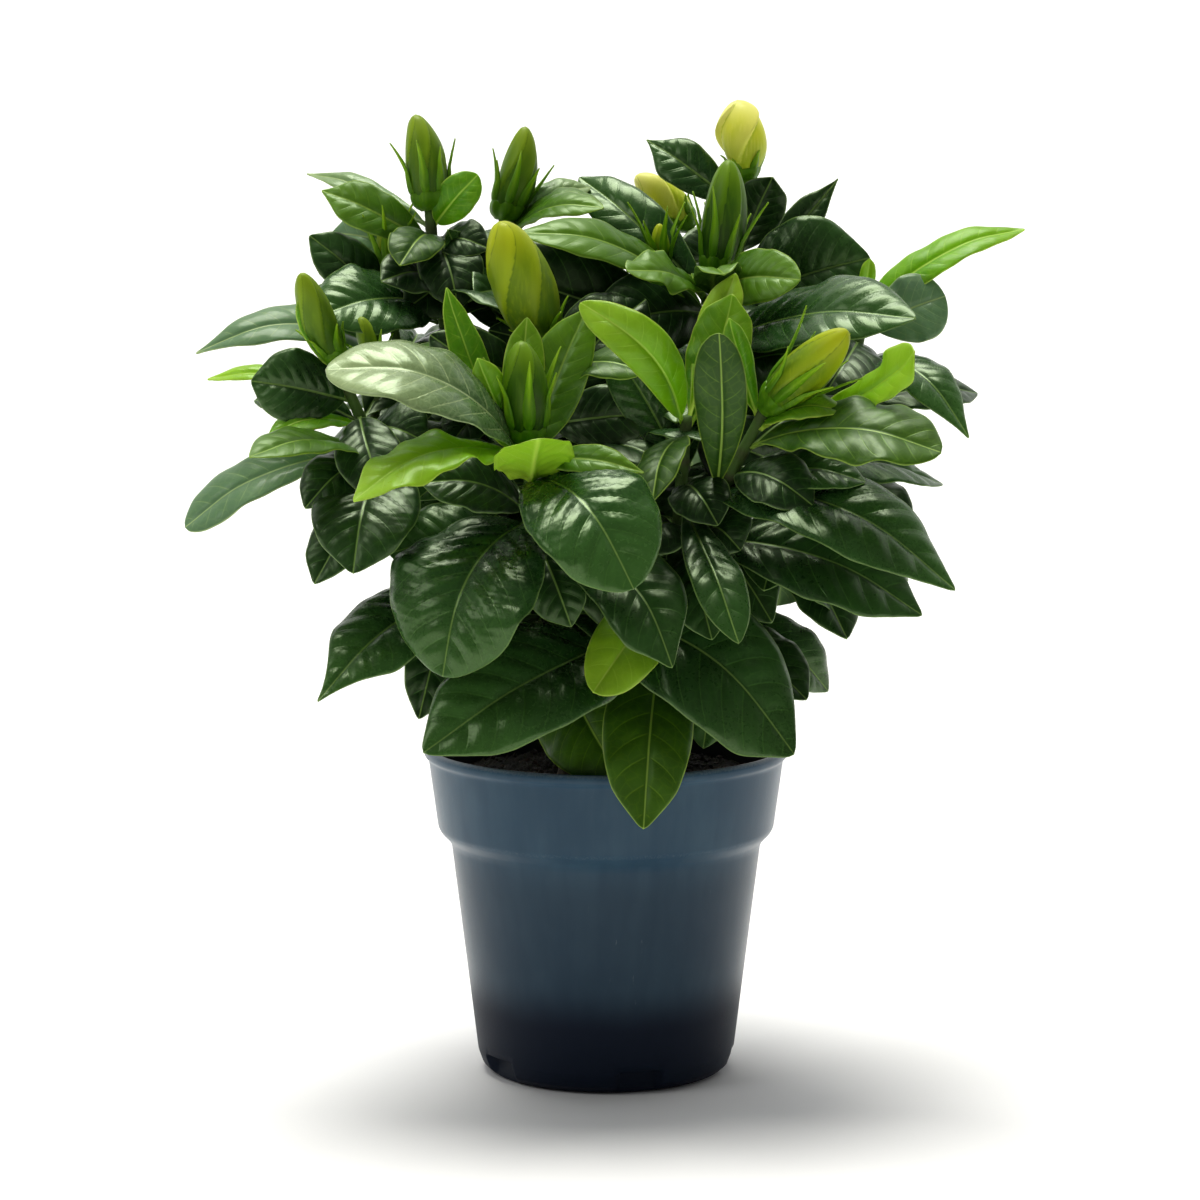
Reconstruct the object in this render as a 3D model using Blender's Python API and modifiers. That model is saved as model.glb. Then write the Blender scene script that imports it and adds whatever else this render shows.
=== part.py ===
"""Potted gardenia: a thin nursery pot, its root ball, three woody stems, the flower buds and the leaves.

Everything is built in millimetres and scaled to metres at the end. The origin is the centre of the
pot's underside, +Z is up and the side normally looked at is -Y.
"""
import math
from typing import NamedTuple

import bmesh
import bpy
import numpy as np

MM = 0.001

# ---- driving dimensions, mm ----------------------------------------------------------------------
RIM_R = 65.0            # outer radius of the rolled lip
POT_H = 118.0           # height of the pot
WALL = 1.2              # pot wall
COLLAR_TOP_R = 63.4     # outer radius just under the lip
COLLAR_LOW_R = 60.2     # outer radius at the bottom of the collar
COLLAR_Z = 88.0         # height where the collar steps in
BODY_TOP_R = 55.4       # outer radius under the step
BODY_LOW_R = 46.2       # outer radius at the top of the rounded bottom corner
FOOT_R = 40.5           # outer radius of the foot ring
FOOT_IN_R = 35.0        # inner radius of the foot ring
PAD_R = 13.0            # central pad the pot also rests on
FLOOR_RAISE = 2.2       # height of the floor's underside over the ground
FLOOR_T = 1.6           # floor thickness
NOTCHES = 5             # drainage notches round the bottom corner
NOTCH_W = 15.0
NOTCH_H = 9.0
HOLES = 8               # drain holes in the floor
HOLE_R = 3.2
HOLE_CIRCLE_R = 24.0
SOIL_TOP = 107.0        # level of the soil
GAP = 0.3               # clearance between pieces that touch
POT_STEPS = 48

TRUNK_R = 4.6           # stem radius where it leaves the soil
SHOOT_R = 1.9           # stem radius under a bud
LEAF_T = 0.8            # blade thickness
PETIOLE_HALF = 0.9      # half width of a leaf stalk

# ---- colours -------------------------------------------------------------------------------------
SLATE = (0.045, 0.085, 0.12)
SOIL = (0.02, 0.014, 0.010)
BARK = (0.13, 0.12, 0.05)
DARK_LEAF = (0.012, 0.045, 0.014)
MID_LEAF = (0.03, 0.10, 0.02)
LIME_LEAF = (0.16, 0.36, 0.02)
BUD_GREEN = (0.12, 0.22, 0.02)
BUD_CREAM = (0.75, 0.74, 0.20)


class Shoot(NamedTuple):
    """A length of stem from a start point, bent toward a control point, to its top."""

    stem: str
    start: tuple
    bend: tuple
    top: tuple
    r_start: float
    r_top: float


SHOOTS = {
    # left cutting
    "left_trunk": Shoot("stem_left", (-12, -8, 107.3), (-12, -8, 140), (-20, -12, 172), TRUNK_R, 3.6),
    "front": Shoot("stem_left", (-15, -9, 146), (-24, -46, 168), (-27, -57, 232), 3.2, SHOOT_R),
    "big": Shoot("stem_left", (-20, -12, 168), (-24, -18, 215), (-20, -22, 261), 3.3, SHOOT_R),
    "left": Shoot("stem_left", (-17, -10, 156), (-64, -26, 178), (-93, -34, 258), 3.2, SHOOT_R),
    "left_twig": Shoot("stem_left", (-83, -31, 230), (-80, -24, 238), (-80, -18, 253), 1.9, 1.4),
    # right cutting
    "right_trunk": Shoot("stem_right", (15, -6, 107.3), (15, -6, 138), (22, -9, 168), TRUNK_R, 3.6),
    "centre": Shoot("stem_right", (18, -7, 148), (24, -34, 176), (28, -38, 240), 3.2, SHOOT_R),
    "right": Shoot("stem_right", (22, -9, 165), (26, -48, 190), (55, -50, 244), 3.3, SHOOT_R),
    "far_right": Shoot("stem_right", (20, -8, 158), (78, 4, 180), (94, 20, 280), 3.2, SHOOT_R),
    # rear cutting
    "rear_trunk": Shoot("stem_rear", (0, 18, 107.3), (0, 18, 140), (-2, 24, 176), TRUNK_R, 3.8),
    "rear_right": Shoot("stem_rear", (-1, 22, 166), (34, 18, 200), (39, 20, 284), 3.0, SHOOT_R),
    "rear_high": Shoot("stem_rear", (-2, 23, 172), (42, 52, 220), (52, 60, 316), 3.0, SHOOT_R),
    "high_twig": Shoot("stem_rear", (48, 55, 280), (38, 62, 284), (31, 74, 299), 1.9, 1.5),
    "inner_twig": Shoot("stem_rear", (37, 19, 264), (26, 22, 270), (21, 25, 286), 1.8, 1.4),
    "rear_left": Shoot("stem_rear", (-2, 23, 168), (-56, 14, 205), (-63, 20, 309), 3.2, SHOOT_R),
    "rear_centre": Shoot("stem_rear", (-2, 24, 174), (-30, 40, 220), (-37, 40, 304), 3.0, SHOOT_R),
    "mid_left": Shoot("stem_rear", (-1, 21, 160), (-70, 22, 190), (-78, 20, 282), 2.8, 1.6),
    "back": Shoot("stem_rear", (-1, 21, 152), (-10, 66, 176), (-12, 78, 262), 3.0, SHOOT_R),
}


class Bud(NamedTuple):
    """A furled flower bud on top of a shoot, with its ribbed calyx of narrow sepals."""

    name: str
    shoot: str
    tip: tuple
    radius: float
    sepals: int
    sepal_len: float
    spread: float      # degrees the sepals lean out from the bud
    colour: tuple


BUDS = [
    Bud("bud_front", "front", (-29, -60, 268), 8.0, 5, 30, 34, BUD_GREEN),
    Bud("bud_big", "big", (-37, -32, 307), 11.5, 5, 16, 48, BUD_GREEN),
    Bud("bud_right", "right", (82, -67, 272), 7.5, 6, 32, 28, BUD_GREEN),
    Bud("bud_rear_right", "rear_right", (44, 22, 326), 8.0, 6, 30, 36, BUD_GREEN),
    Bud("bud_top_opening", "rear_high", (51, 62, 346), 9.0, 5, 12, 45, BUD_CREAM),
    Bud("bud_top_second", "high_twig", (13, 74, 314), 6.5, 5, 10, 45, BUD_CREAM),
    Bud("bud_rear_left", "rear_left", (-68, 22, 342), 8.0, 6, 24, 36, BUD_GREEN),
    Bud("bud_rear_centre", "rear_centre", (-29, 42, 337), 7.5, 6, 22, 36, BUD_GREEN),
    Bud("bud_left", "left", (-105, -44, 290), 6.0, 5, 14, 44, BUD_GREEN),
    Bud("bud_left_small", "left_twig", (-86, -20, 273), 4.0, 5, 16, 36, BUD_GREEN),
    Bud("bud_calyx_left", "mid_left", (-79, 19, 305), 3.2, 6, 30, 26, LIME_LEAF),
    Bud("bud_calyx_inner", "inner_twig", (19, 24, 303), 3.2, 6, 24, 28, LIME_LEAF),
]


class Leaf(NamedTuple):
    """One leaf: where it leaves its shoot, where its tip is and which way its upper side looks."""

    name: str
    shoot: str
    at: float          # 0 at the shoot's start, 1 at its top
    tip: tuple
    width: float
    arch: float        # how far the middle stands up from the straight line root to tip
    faces: tuple
    colour: tuple


LEAVES = [
    # over the rim and low at the front
    Leaf("leaf_front_left_big", "front", 0.78, (-56, -92, 159), 58, 11, (-4, -10, 7), DARK_LEAF),
    Leaf("leaf_front_over_rim_left", "centre", 0.06, (-62, -88, 134), 44, 9, (-2, -10, 7), DARK_LEAF),
    Leaf("leaf_front_over_rim", "centre", 0.20, (14, -84, 104), 33, 9, (0, -10, 4), MID_LEAF),
    Leaf("leaf_front_young", "front", 0.50, (6, -70, 152), 20, 3, (0, -10, 3), LIME_LEAF),
    Leaf("leaf_front_left_low", "left", 0.34, (-96, -90, 150), 46, 9, (-3, -10, 6), DARK_LEAF),
    Leaf("leaf_front_round", "front", 0.90, (9, -104, 191), 48, 12, (1, -10, 9), DARK_LEAF),
    # front shoot
    Leaf("leaf_front_silver", "front", 0.95, (-93, -75, 262), 35, 9, (2, -6, 10), DARK_LEAF),
    Leaf("leaf_front_light", "front", 0.89, (-84, -100, 221), 23, 8, (-1, -4, 10), LIME_LEAF),
    Leaf("leaf_front_up_left", "front", 0.95, (-53, -50, 286), 16, -4, (4, -10, 3), LIME_LEAF),
    Leaf("leaf_front_up_right", "front", 0.97, (-7, -43, 278), 23, -4, (-1, -10, 2), MID_LEAF),
    # centre shoot
    Leaf("leaf_centre_lime", "centre", 0.98, (-8, -52, 278), 22, 7, (-3, -10, 6), LIME_LEAF),
    Leaf("leaf_centre_up", "centre", 0.97, (42, -30, 282), 20, -4, (0, -10, 3), LIME_LEAF),
    Leaf("leaf_centre_low_right", "centre", 0.42, (64, -80, 130), 50, 10, (3, -10, 6), DARK_LEAF),
    Leaf("leaf_centre_narrow", "centre", 0.70, (45, -96, 171), 28, 7, (2, -9, 7), DARK_LEAF),
    Leaf("leaf_centre_small", "centre", 0.55, (22, -94, 163), 32, 7, (-1, -9, 7), DARK_LEAF),
    Leaf("leaf_right_long", "right", 0.66, (119, -86, 189), 40, 11, (1, -7, 10), DARK_LEAF),
    Leaf("leaf_right_under", "right", 0.50, (108, -58, 174), 36, 10, (1, -6, 10), DARK_LEAF),
    # right shoot
    Leaf("leaf_right_upright", "right", 0.80, (38, -74, 269), 19, 3, (-1, -10, 1), MID_LEAF),
    Leaf("leaf_right_lime_rim", "right", 0.88, (112, -84, 235), 36, 9, (0, -7, 9), MID_LEAF),
    Leaf("leaf_right_dark", "right", 0.80, (118, -34, 219), 28, 6, (0, -4, 10), DARK_LEAF),
    Leaf("leaf_right_low", "far_right", 0.12, (70, -42, 143), 28, 6, (3, -9, 6), DARK_LEAF),
    # far right shoot
    Leaf("leaf_far_right_light", "far_right", 0.97, (150, 30, 302), 23, 7, (-2, -6, 10), LIME_LEAF),
    Leaf("leaf_far_right_grey", "far_right", 0.88, (119, 10, 281), 28, 3, (2, -10, 4), DARK_LEAF),
    Leaf("leaf_far_right_hanging", "far_right", 0.86, (127, -28, 234), 26, 10, (2, -6, 9), DARK_LEAF),
    # rear right shoots
    Leaf("leaf_rear_right_glossy", "rear_right", 0.84, (104, -46, 278), 36, 9, (0, -8, 8), DARK_LEAF),
    Leaf("leaf_rear_right_round", "rear_high", 0.76, (95, 40, 290), 42, 6, (1, -10, 3), DARK_LEAF),
    Leaf("leaf_rear_right_lit", "rear_right", 0.97, (67, -22, 284), 23, 5, (0, -9, 6), MID_LEAF),
    Leaf("leaf_rear_right_across", "rear_right", 0.92, (-29, -2, 304), 26, 8, (-1, -6, 9), MID_LEAF),
    Leaf("leaf_high_left", "rear_high", 0.82, (-10, 50, 320), 24, 6, (-2, -8, 8), DARK_LEAF),
    # left shoots
    Leaf("leaf_left_round", "left", 0.74, (-86, -80, 193), 38, 9, (-1, -9, 8), DARK_LEAF),
    Leaf("leaf_left_grey", "left", 0.80, (-147, -42, 204), 30, 8, (-2, -6, 9), DARK_LEAF),
    Leaf("leaf_left_block", "left", 0.92, (-122, -44, 253), 27, 4, (1, -10, 3), DARK_LEAF),
    Leaf("leaf_left_light_tip", "left", 0.78, (-119, -84, 234), 22, 5, (-1, -6, 9), MID_LEAF),
    Leaf("leaf_mid_left_drooping", "mid_left", 0.84, (-144, -6, 262), 24, 10, (-2, -6, 9), DARK_LEAF),
    Leaf("leaf_mid_left_dark", "mid_left", 0.92, (-104, 6, 300), 22, 4, (2, -9, 5), DARK_LEAF),
    Leaf("leaf_rear_left_glossy", "rear_left", 0.82, (-101, -20, 275), 36, 7, (0, -8, 8), DARK_LEAF),
    Leaf("leaf_rear_centre_right", "rear_centre", 0.97, (-2, 26, 311), 18, 5, (-1, -6, 10), MID_LEAF),
    # back of the plant
    Leaf("leaf_back_low_left", "back", 0.34, (-58, 96, 138), 42, 10, (-3, 8, 8), DARK_LEAF),
    Leaf("leaf_back_low_right", "back", 0.40, (34, 104, 144), 42, 10, (2, 9, 7), DARK_LEAF),
    Leaf("leaf_back_middle", "back", 0.62, (-6, 124, 178), 46, 10, (0, 8, 9), DARK_LEAF),
    Leaf("leaf_back_left", "back", 0.82, (-86, 96, 214), 36, 9, (-2, 5, 10), DARK_LEAF),
    Leaf("leaf_back_right", "back", 0.86, (66, 106, 232), 34, 9, (2, 6, 10), DARK_LEAF),
    Leaf("leaf_back_top", "back", 0.99, (-30, 112, 292), 24, 6, (0, -5, 10), LIME_LEAF),
]

# blade outline: place along the leaf and share of the full half width there
OUTLINE_U = (0.0, 0.07, 0.22, 0.42, 0.62, 0.82, 1.0)
OUTLINE_W = (0.0, 0.0, 0.50, 0.90, 1.0, 0.70, 0.03)
ACROSS = (-1.0, -0.5, 0.0, 0.5, 1.0)
FOLD = math.radians(11)


# ---- small helpers -------------------------------------------------------------------------------
def unit(v) -> np.ndarray:
    """A vector scaled to length one."""
    v = np.asarray(v, float)
    return v / np.linalg.norm(v)


def new_object(name: str, mesh: bpy.types.Mesh, colour: tuple, rough: float, group) -> bpy.types.Object:
    """An object for a mesh, with its own plain material, in the given collection."""
    obj = bpy.data.objects.new(name, mesh)
    mat = bpy.data.materials.new(name + "_mat")
    mat.use_nodes = True
    bsdf = mat.node_tree.nodes["Principled BSDF"]
    bsdf.inputs["Base Color"].default_value = (*colour, 1.0)
    bsdf.inputs["Roughness"].default_value = rough
    mesh.materials.clear()
    mesh.materials.append(mat)
    group.objects.link(obj)
    return obj


def apply_modifiers(obj: bpy.types.Object) -> None:
    """Replaces an object's mesh by what its modifiers make of it."""
    graph = bpy.context.evaluated_depsgraph_get()
    made = bpy.data.meshes.new_from_object(obj.evaluated_get(graph), depsgraph=graph)
    obj.modifiers.clear()
    obj.data = made


def boolean(obj: bpy.types.Object, other: bpy.types.Object, how: str) -> None:
    """Joins or cuts an object with another by an exact boolean."""
    mod = obj.modifiers.new(how, "BOOLEAN")
    mod.operation = how
    mod.solver = "EXACT"
    mod.object = other
    apply_modifiers(obj)


def spun(name: str, profile: list, group, colour: tuple, rough: float) -> bpy.types.Object:
    """A solid of revolution: the profile runs inside up, over the top and down the outside."""
    mesh = bpy.data.meshes.new(name)
    pts = [(r * MM, 0.0, z * MM) for r, z in profile]
    mesh.from_pydata(pts, [(i, i + 1) for i in range(len(pts) - 1)], [])
    obj = new_object(name, mesh, colour, rough, group)
    screw = obj.modifiers.new("spin", "SCREW")
    screw.steps = screw.render_steps = POT_STEPS
    screw.use_merge_vertices = True
    screw.merge_threshold = 0.00005
    screw.use_normal_calculate = True
    apply_modifiers(obj)
    face_out(obj.data)
    return obj


def face_out(mesh: bpy.types.Mesh) -> None:
    """Welds doubled points and turns every face outward."""
    bm = bmesh.new()
    bm.from_mesh(mesh)
    bmesh.ops.remove_doubles(bm, verts=bm.verts, dist=0.000005)
    bmesh.ops.recalc_face_normals(bm, faces=bm.faces)
    bm.to_mesh(mesh)
    bm.free()


# ---- pot and soil --------------------------------------------------------------------------------
def inner_wall() -> list:
    """Inner side of the pot from the floor's corner up to just under the lip."""
    floor = FLOOR_RAISE + FLOOR_T
    return [
        (FOOT_R - 4.0, floor),
        (FOOT_R - 1.6, NOTCH_H + 2.6),
        (BODY_LOW_R - WALL + 0.5, NOTCH_H + 4.0),
        (BODY_TOP_R - WALL, COLLAR_Z - 5.5),
        (BODY_TOP_R - WALL + 0.6, COLLAR_Z - 3.0),
        (COLLAR_LOW_R - WALL - 0.3, COLLAR_Z + 1.2),
        (COLLAR_TOP_R - WALL, POT_H - 4.0),
    ]


def build_pot(group, cutters) -> None:
    """The pot: rolled lip, tapered collar, step, tapered body and a raised floor with drainage."""
    profile = [(0.0, FLOOR_RAISE + FLOOR_T)] + inner_wall() + [
        (COLLAR_TOP_R - WALL + 0.2, POT_H - 0.9),
        (COLLAR_TOP_R - 0.2, POT_H),
        (RIM_R - 0.9, POT_H - 0.1),
        (RIM_R, POT_H - 1.0),
        (RIM_R, POT_H - 3.4),
        (COLLAR_TOP_R + 0.3, POT_H - 4.6),
        (COLLAR_TOP_R, POT_H - 5.6),
        (COLLAR_LOW_R, COLLAR_Z + 0.8),
        (COLLAR_LOW_R - 0.9, COLLAR_Z - 0.7),
        (BODY_TOP_R + 0.9, COLLAR_Z - 4.0),
        (BODY_TOP_R, COLLAR_Z - 6.0),
        (BODY_LOW_R, 7.0),
        (BODY_LOW_R - 1.6, 2.6),
        (BODY_LOW_R - 4.0, 0.6),
        (FOOT_R, 0.0),
        (FOOT_IN_R, 0.0),
        (FOOT_IN_R - 1.0, FLOOR_RAISE),
        (PAD_R + 1.0, FLOOR_RAISE),
        (PAD_R, 0.0),
        (0.0, 0.0),
    ]
    pot = spun("pot", profile, group, SLATE, 0.38)
    for i in range(NOTCHES):
        turn = math.radians(360 / NOTCHES * i - 3)
        bpy.ops.mesh.primitive_cube_add(size=1.0)
        box = bpy.context.object
        box.name = f"cut_notch_{i}"
        out = (BODY_LOW_R + 0.3) * MM
        box.location = (out * math.cos(turn), out * math.sin(turn), (NOTCH_H / 2 - 1) * MM)
        box.scale = (9.0 * MM, NOTCH_W * MM, NOTCH_H * MM)
        box.rotation_euler = (0.0, math.radians(-8), turn)
        keep_cutter(box, cutters)
        boolean(pot, box, "DIFFERENCE")
    for i in range(HOLES):
        turn = math.radians(360 / HOLES * (i + 0.5))
        bpy.ops.mesh.primitive_cylinder_add(vertices=16, radius=HOLE_R * MM, depth=12 * MM)
        drill = bpy.context.object
        drill.name = f"cut_hole_{i}"
        drill.location = (HOLE_CIRCLE_R * MM * math.cos(turn), HOLE_CIRCLE_R * MM * math.sin(turn), 3 * MM)
        keep_cutter(drill, cutters)
        boolean(pot, drill, "DIFFERENCE")
    pot.data.shade_smooth()
    pot.data.set_sharp_from_angle(angle=math.radians(35))


def keep_cutter(obj: bpy.types.Object, cutters) -> None:
    """Moves a cutting tool to its own hidden collection."""
    for owner in list(obj.users_collection):
        owner.objects.unlink(obj)
    cutters.objects.link(obj)
    obj.display_type = "WIRE"
    obj.hide_render = True
    bpy.context.view_layer.update()


def build_soil(group) -> None:
    """The root ball, a little smaller than the inside of the pot, with a sunken edge."""
    wall = [(r - GAP - 0.1, z) for r, z in inner_wall()]
    top_r = wall[-1][0] - (wall[-1][1] - SOIL_TOP + 2.0) * 0.14
    side = [(r, z) for r, z in wall if z < SOIL_TOP - 3]
    profile = [(0.0, SOIL_TOP), (top_r - 12, SOIL_TOP), (top_r - 3, SOIL_TOP - 0.6), (top_r, SOIL_TOP - 2.0)]
    profile += side[::-1] + [(0.0, wall[0][1] + GAP)]
    profile[-2] = (side[0][0], wall[0][1] + GAP)
    soil = spun("soil", profile, group, SOIL, 0.95)
    soil.data.shade_smooth()
    soil.data.set_sharp_from_angle(angle=math.radians(40))


# ---- stems ---------------------------------------------------------------------------------------
def shoot_point(shoot: Shoot, t: float) -> np.ndarray:
    """Point on a shoot's centre line: start, bend and top blended by the quadratic Bezier weights."""
    a, b, c = (np.asarray(p, float) for p in (shoot.start, shoot.bend, shoot.top))
    return (1 - t) ** 2 * a + 2 * t * (1 - t) * b + t * t * c


def shoot_tangent(shoot: Shoot, t: float) -> np.ndarray:
    """Direction the shoot grows in at a place on it."""
    a, b, c = (np.asarray(p, float) for p in (shoot.start, shoot.bend, shoot.top))
    return unit(2 * (1 - t) * (b - a) + 2 * t * (c - b))


def shoot_radius(shoot: Shoot, t: float) -> float:
    """Radius of the shoot, tapering evenly."""
    return shoot.r_start + (shoot.r_top - shoot.r_start) * t


def build_tube(name: str, shoot: Shoot, group) -> bpy.types.Object:
    """One shoot as a tapered, capped tube made from a bevelled curve."""
    curve = bpy.data.curves.new(name, "CURVE")
    curve.dimensions = "3D"
    curve.bevel_depth = 1.0 * MM
    curve.bevel_resolution = 1
    curve.use_fill_caps = True
    count = 8
    spline = curve.splines.new("POLY")
    spline.points.add(count - 1)
    for i in range(count):
        t = i / (count - 1)
        spline.points[i].co = (*(shoot_point(shoot, t) * MM), 1.0)
        spline.points[i].radius = shoot_radius(shoot, t)
    source = bpy.data.objects.new(name + "_line", curve)
    group.objects.link(source)
    graph = bpy.context.evaluated_depsgraph_get()
    mesh = bpy.data.meshes.new_from_object(source.evaluated_get(graph), depsgraph=graph)
    bpy.data.objects.remove(source)
    face_out(mesh)
    return new_object(name, mesh, BARK, 0.7, group)


def build_stems(group, cutters) -> None:
    """Joins the shoots of each cutting into one woody stem."""
    for stem in ("stem_left", "stem_right", "stem_rear"):
        base = None
        for name, shoot in SHOOTS.items():
            if shoot.stem != stem:
                continue
            tube = build_tube(stem if base is None else "tube_" + name, shoot, group)
            if base is None:
                base = tube
                continue
            keep_cutter(tube, cutters)
            boolean(base, tube, "UNION")
        base.data.shade_smooth()


# ---- buds ----------------------------------------------------------------------------------------
def build_bud(bud: Bud, group) -> None:
    """A spindle on a short calyx cup, whose sepals are drawn out of the cup's side faces."""
    shoot = SHOOTS[bud.shoot]
    top = shoot_point(shoot, 1.0)
    axis = unit(np.asarray(bud.tip, float) - top)
    tilt = float(np.linalg.norm(np.cross(axis, shoot_tangent(shoot, 1.0))))
    base = top + axis * (GAP + 0.1 + shoot.r_top * tilt)
    length = float(np.linalg.norm(np.asarray(bud.tip, float) - base))
    side = unit(np.cross(axis, (0.31, 0.9, 0.12)))
    other = np.cross(axis, side)
    cup = max(2.2, 0.36 * bud.radius)
    rings = [
        (0.0, 1.3), (0.05, cup), (0.17, cup + 0.5), (0.24, 0.55 * bud.radius + 0.8), (0.42, 0.92 * bud.radius),
        (0.58, bud.radius), (0.78, 0.72 * bud.radius), (0.93, 0.34 * bud.radius), (1.0, 0.08 * bud.radius),
    ]
    sides = 2 * bud.sepals
    bm = bmesh.new()
    rows = []
    for share, radius in rings:
        row = []
        for k in range(sides):
            a = 2 * math.pi * k / sides
            p = base + axis * (share * length) + (side * math.cos(a) + other * math.sin(a)) * radius
            row.append(bm.verts.new(p * MM))
        rows.append(row)
    cup_faces = []
    for i in range(len(rows) - 1):
        for k in range(sides):
            n = (k + 1) % sides
            face = bm.faces.new((rows[i][k], rows[i][n], rows[i + 1][n], rows[i + 1][k]))
            if i == 1 and k % 2 == 0:
                cup_faces.append((face, 2 * math.pi * (k + 0.5) / sides))
    bm.faces.new(rows[0][::-1])
    bm.faces.new(rows[-1])
    lean = math.radians(bud.spread)
    for number, (face, a) in enumerate(cup_faces):
        out = side * math.cos(a) + other * math.sin(a)
        reach = axis * math.cos(lean) + out * math.sin(lean)
        start = np.asarray(face.calc_center_median()) / MM
        made = bmesh.ops.extrude_discrete_faces(bm, faces=[face])["faces"][0]
        sepal = bud.sepal_len * (1.0 if number % 2 == 0 else 0.8)
        tip = start + reach * sepal + out * 1.5
        for vert in made.verts:
            spread = (np.asarray(vert.co) / MM - start) * 0.25
            vert.co = (tip + spread) * MM
    mesh = bpy.data.meshes.new(bud.name)
    bm.to_mesh(mesh)
    bm.free()
    face_out(mesh)
    obj = new_object(bud.name, mesh, bud.colour, 0.45, group)
    obj.data.shade_smooth()


# ---- leaves --------------------------------------------------------------------------------------
def leaf_root(leaf: Leaf) -> np.ndarray:
    """Where the leaf stalk starts: just off the skin of its shoot, on the side the tip is."""
    shoot = SHOOTS[leaf.shoot]
    centre = shoot_point(shoot, leaf.at)
    along = shoot_tangent(shoot, leaf.at)
    toward = np.asarray(leaf.tip, float) - centre
    radial = unit(toward - along * float(toward @ along))
    return centre + radial * (shoot_radius(shoot, leaf.at) + GAP + 0.35)


def leaf_surface(leaf: Leaf, us: np.ndarray, vs: np.ndarray) -> np.ndarray:
    """Grid of points on the blade.

    The midrib goes straight from root to tip and is lifted in the middle by the arch, as u(1-u). The
    half width follows the outline; each half blade is folded up a little from the midrib.
    """
    root, tip = leaf_root(leaf), np.asarray(leaf.tip, float)
    chord = tip - root
    along = unit(chord)
    faces = unit(leaf.faces)
    normal = unit(faces - along * float(faces @ along))
    across = np.cross(along, normal)
    u = us[:, None]
    half = PETIOLE_HALF + (leaf.width / 2 - PETIOLE_HALF) * np.interp(u, OUTLINE_U, OUTLINE_W)
    half = np.where(u > 0.99, 0.6, half)
    lift = 4 * leaf.arch * u * (1 - u) + half * np.abs(vs) * math.sin(FOLD)
    wide = half * vs * math.cos(FOLD)
    return (root + u[..., None] * chord + lift[..., None] * normal + wide[..., None] * across)


def build_leaf(leaf: Leaf, group) -> None:
    """A leaf as a small grid of faces thickened to the blade's thickness."""
    us, vs = np.array(OUTLINE_U), np.array(ACROSS)
    pts = leaf_surface(leaf, us, vs).reshape(-1, 3) * MM
    cols = len(vs)
    quads = [
        (r * cols + c, r * cols + c + 1, (r + 1) * cols + c + 1, (r + 1) * cols + c)
        for r in range(len(us) - 1) for c in range(cols - 1)
    ]
    mesh = bpy.data.meshes.new(leaf.name)
    mesh.from_pydata(pts.tolist(), [], quads)
    obj = new_object(leaf.name, mesh, leaf.colour, 0.3, group)
    thick = obj.modifiers.new("thick", "SOLIDIFY")
    thick.thickness = LEAF_T * MM
    thick.offset = 0.0
    apply_modifiers(obj)
    face_out(obj.data)
    obj.data.shade_smooth()


def main() -> None:
    """Clears the scene and builds every piece."""
    for obj in list(bpy.data.objects):
        bpy.data.objects.remove(obj)
    group = bpy.data.collections.new("potted_gardenia")
    cutters = bpy.data.collections.new("cutters")
    bpy.context.scene.collection.children.link(group)
    bpy.context.scene.collection.children.link(cutters)
    build_pot(group, cutters)
    build_soil(group)
    build_stems(group, cutters)
    for bud in BUDS:
        build_bud(bud, group)
    for leaf in LEAVES:
        build_leaf(leaf, group)
    print("pieces:", len(group.objects))


main()
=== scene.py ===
"""Potted gardenia in bud: fine surfaces, finishes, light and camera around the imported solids.

Shapes are worked out in millimetres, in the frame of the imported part: the origin is the centre of
the pot's underside, +Z is up and -Y is the side with the low leaves that hang over the rim.
"""
from __future__ import annotations

import logging
import math
from dataclasses import dataclass
from enum import Enum
from itertools import product

import bpy
import numpy as np
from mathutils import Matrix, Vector

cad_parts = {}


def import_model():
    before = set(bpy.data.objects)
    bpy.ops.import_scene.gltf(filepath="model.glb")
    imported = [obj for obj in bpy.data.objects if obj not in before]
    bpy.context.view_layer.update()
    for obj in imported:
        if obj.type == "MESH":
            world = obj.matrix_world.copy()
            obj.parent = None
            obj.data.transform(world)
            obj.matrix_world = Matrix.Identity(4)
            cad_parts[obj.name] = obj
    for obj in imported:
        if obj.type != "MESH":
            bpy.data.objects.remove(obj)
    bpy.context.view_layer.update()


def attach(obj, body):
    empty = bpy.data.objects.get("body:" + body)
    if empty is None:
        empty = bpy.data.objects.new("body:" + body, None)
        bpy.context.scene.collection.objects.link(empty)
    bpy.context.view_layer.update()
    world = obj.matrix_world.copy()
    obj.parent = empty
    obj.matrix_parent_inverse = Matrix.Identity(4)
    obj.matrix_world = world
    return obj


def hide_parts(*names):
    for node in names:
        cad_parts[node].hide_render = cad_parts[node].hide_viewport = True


Array = np.ndarray
Colour = tuple[float, float, float]
Point = tuple[float, float, float]

MM = 0.001
BODY = "root"
STEM_ASIDE: Point = (0.31, 0.94, 0.12)    # a direction in which no shoot grows
BUD_ASIDE: Point = (0.31, 0.90, 0.12)     # a direction in which no bud points
LOG = logging.getLogger("gardenia")


# ---------------------------------------------------------------------------------- small formulas
def unit(v: Array | Point) -> Array:
    """Scales vectors to length one along the last axis."""
    v = np.asarray(v, float)
    return v / np.maximum(np.linalg.norm(v, axis=-1, keepdims=True), 1e-12)


def ease(low: float, high: float, x: Array | float) -> Array:
    """Goes from 0 at low to 1 at high along the cubic 3t^2 - 2t^3."""
    t = np.clip((np.asarray(x, float) - low) / (high - low), 0.0, 1.0)
    return t * t * (3.0 - 2.0 * t)


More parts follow.
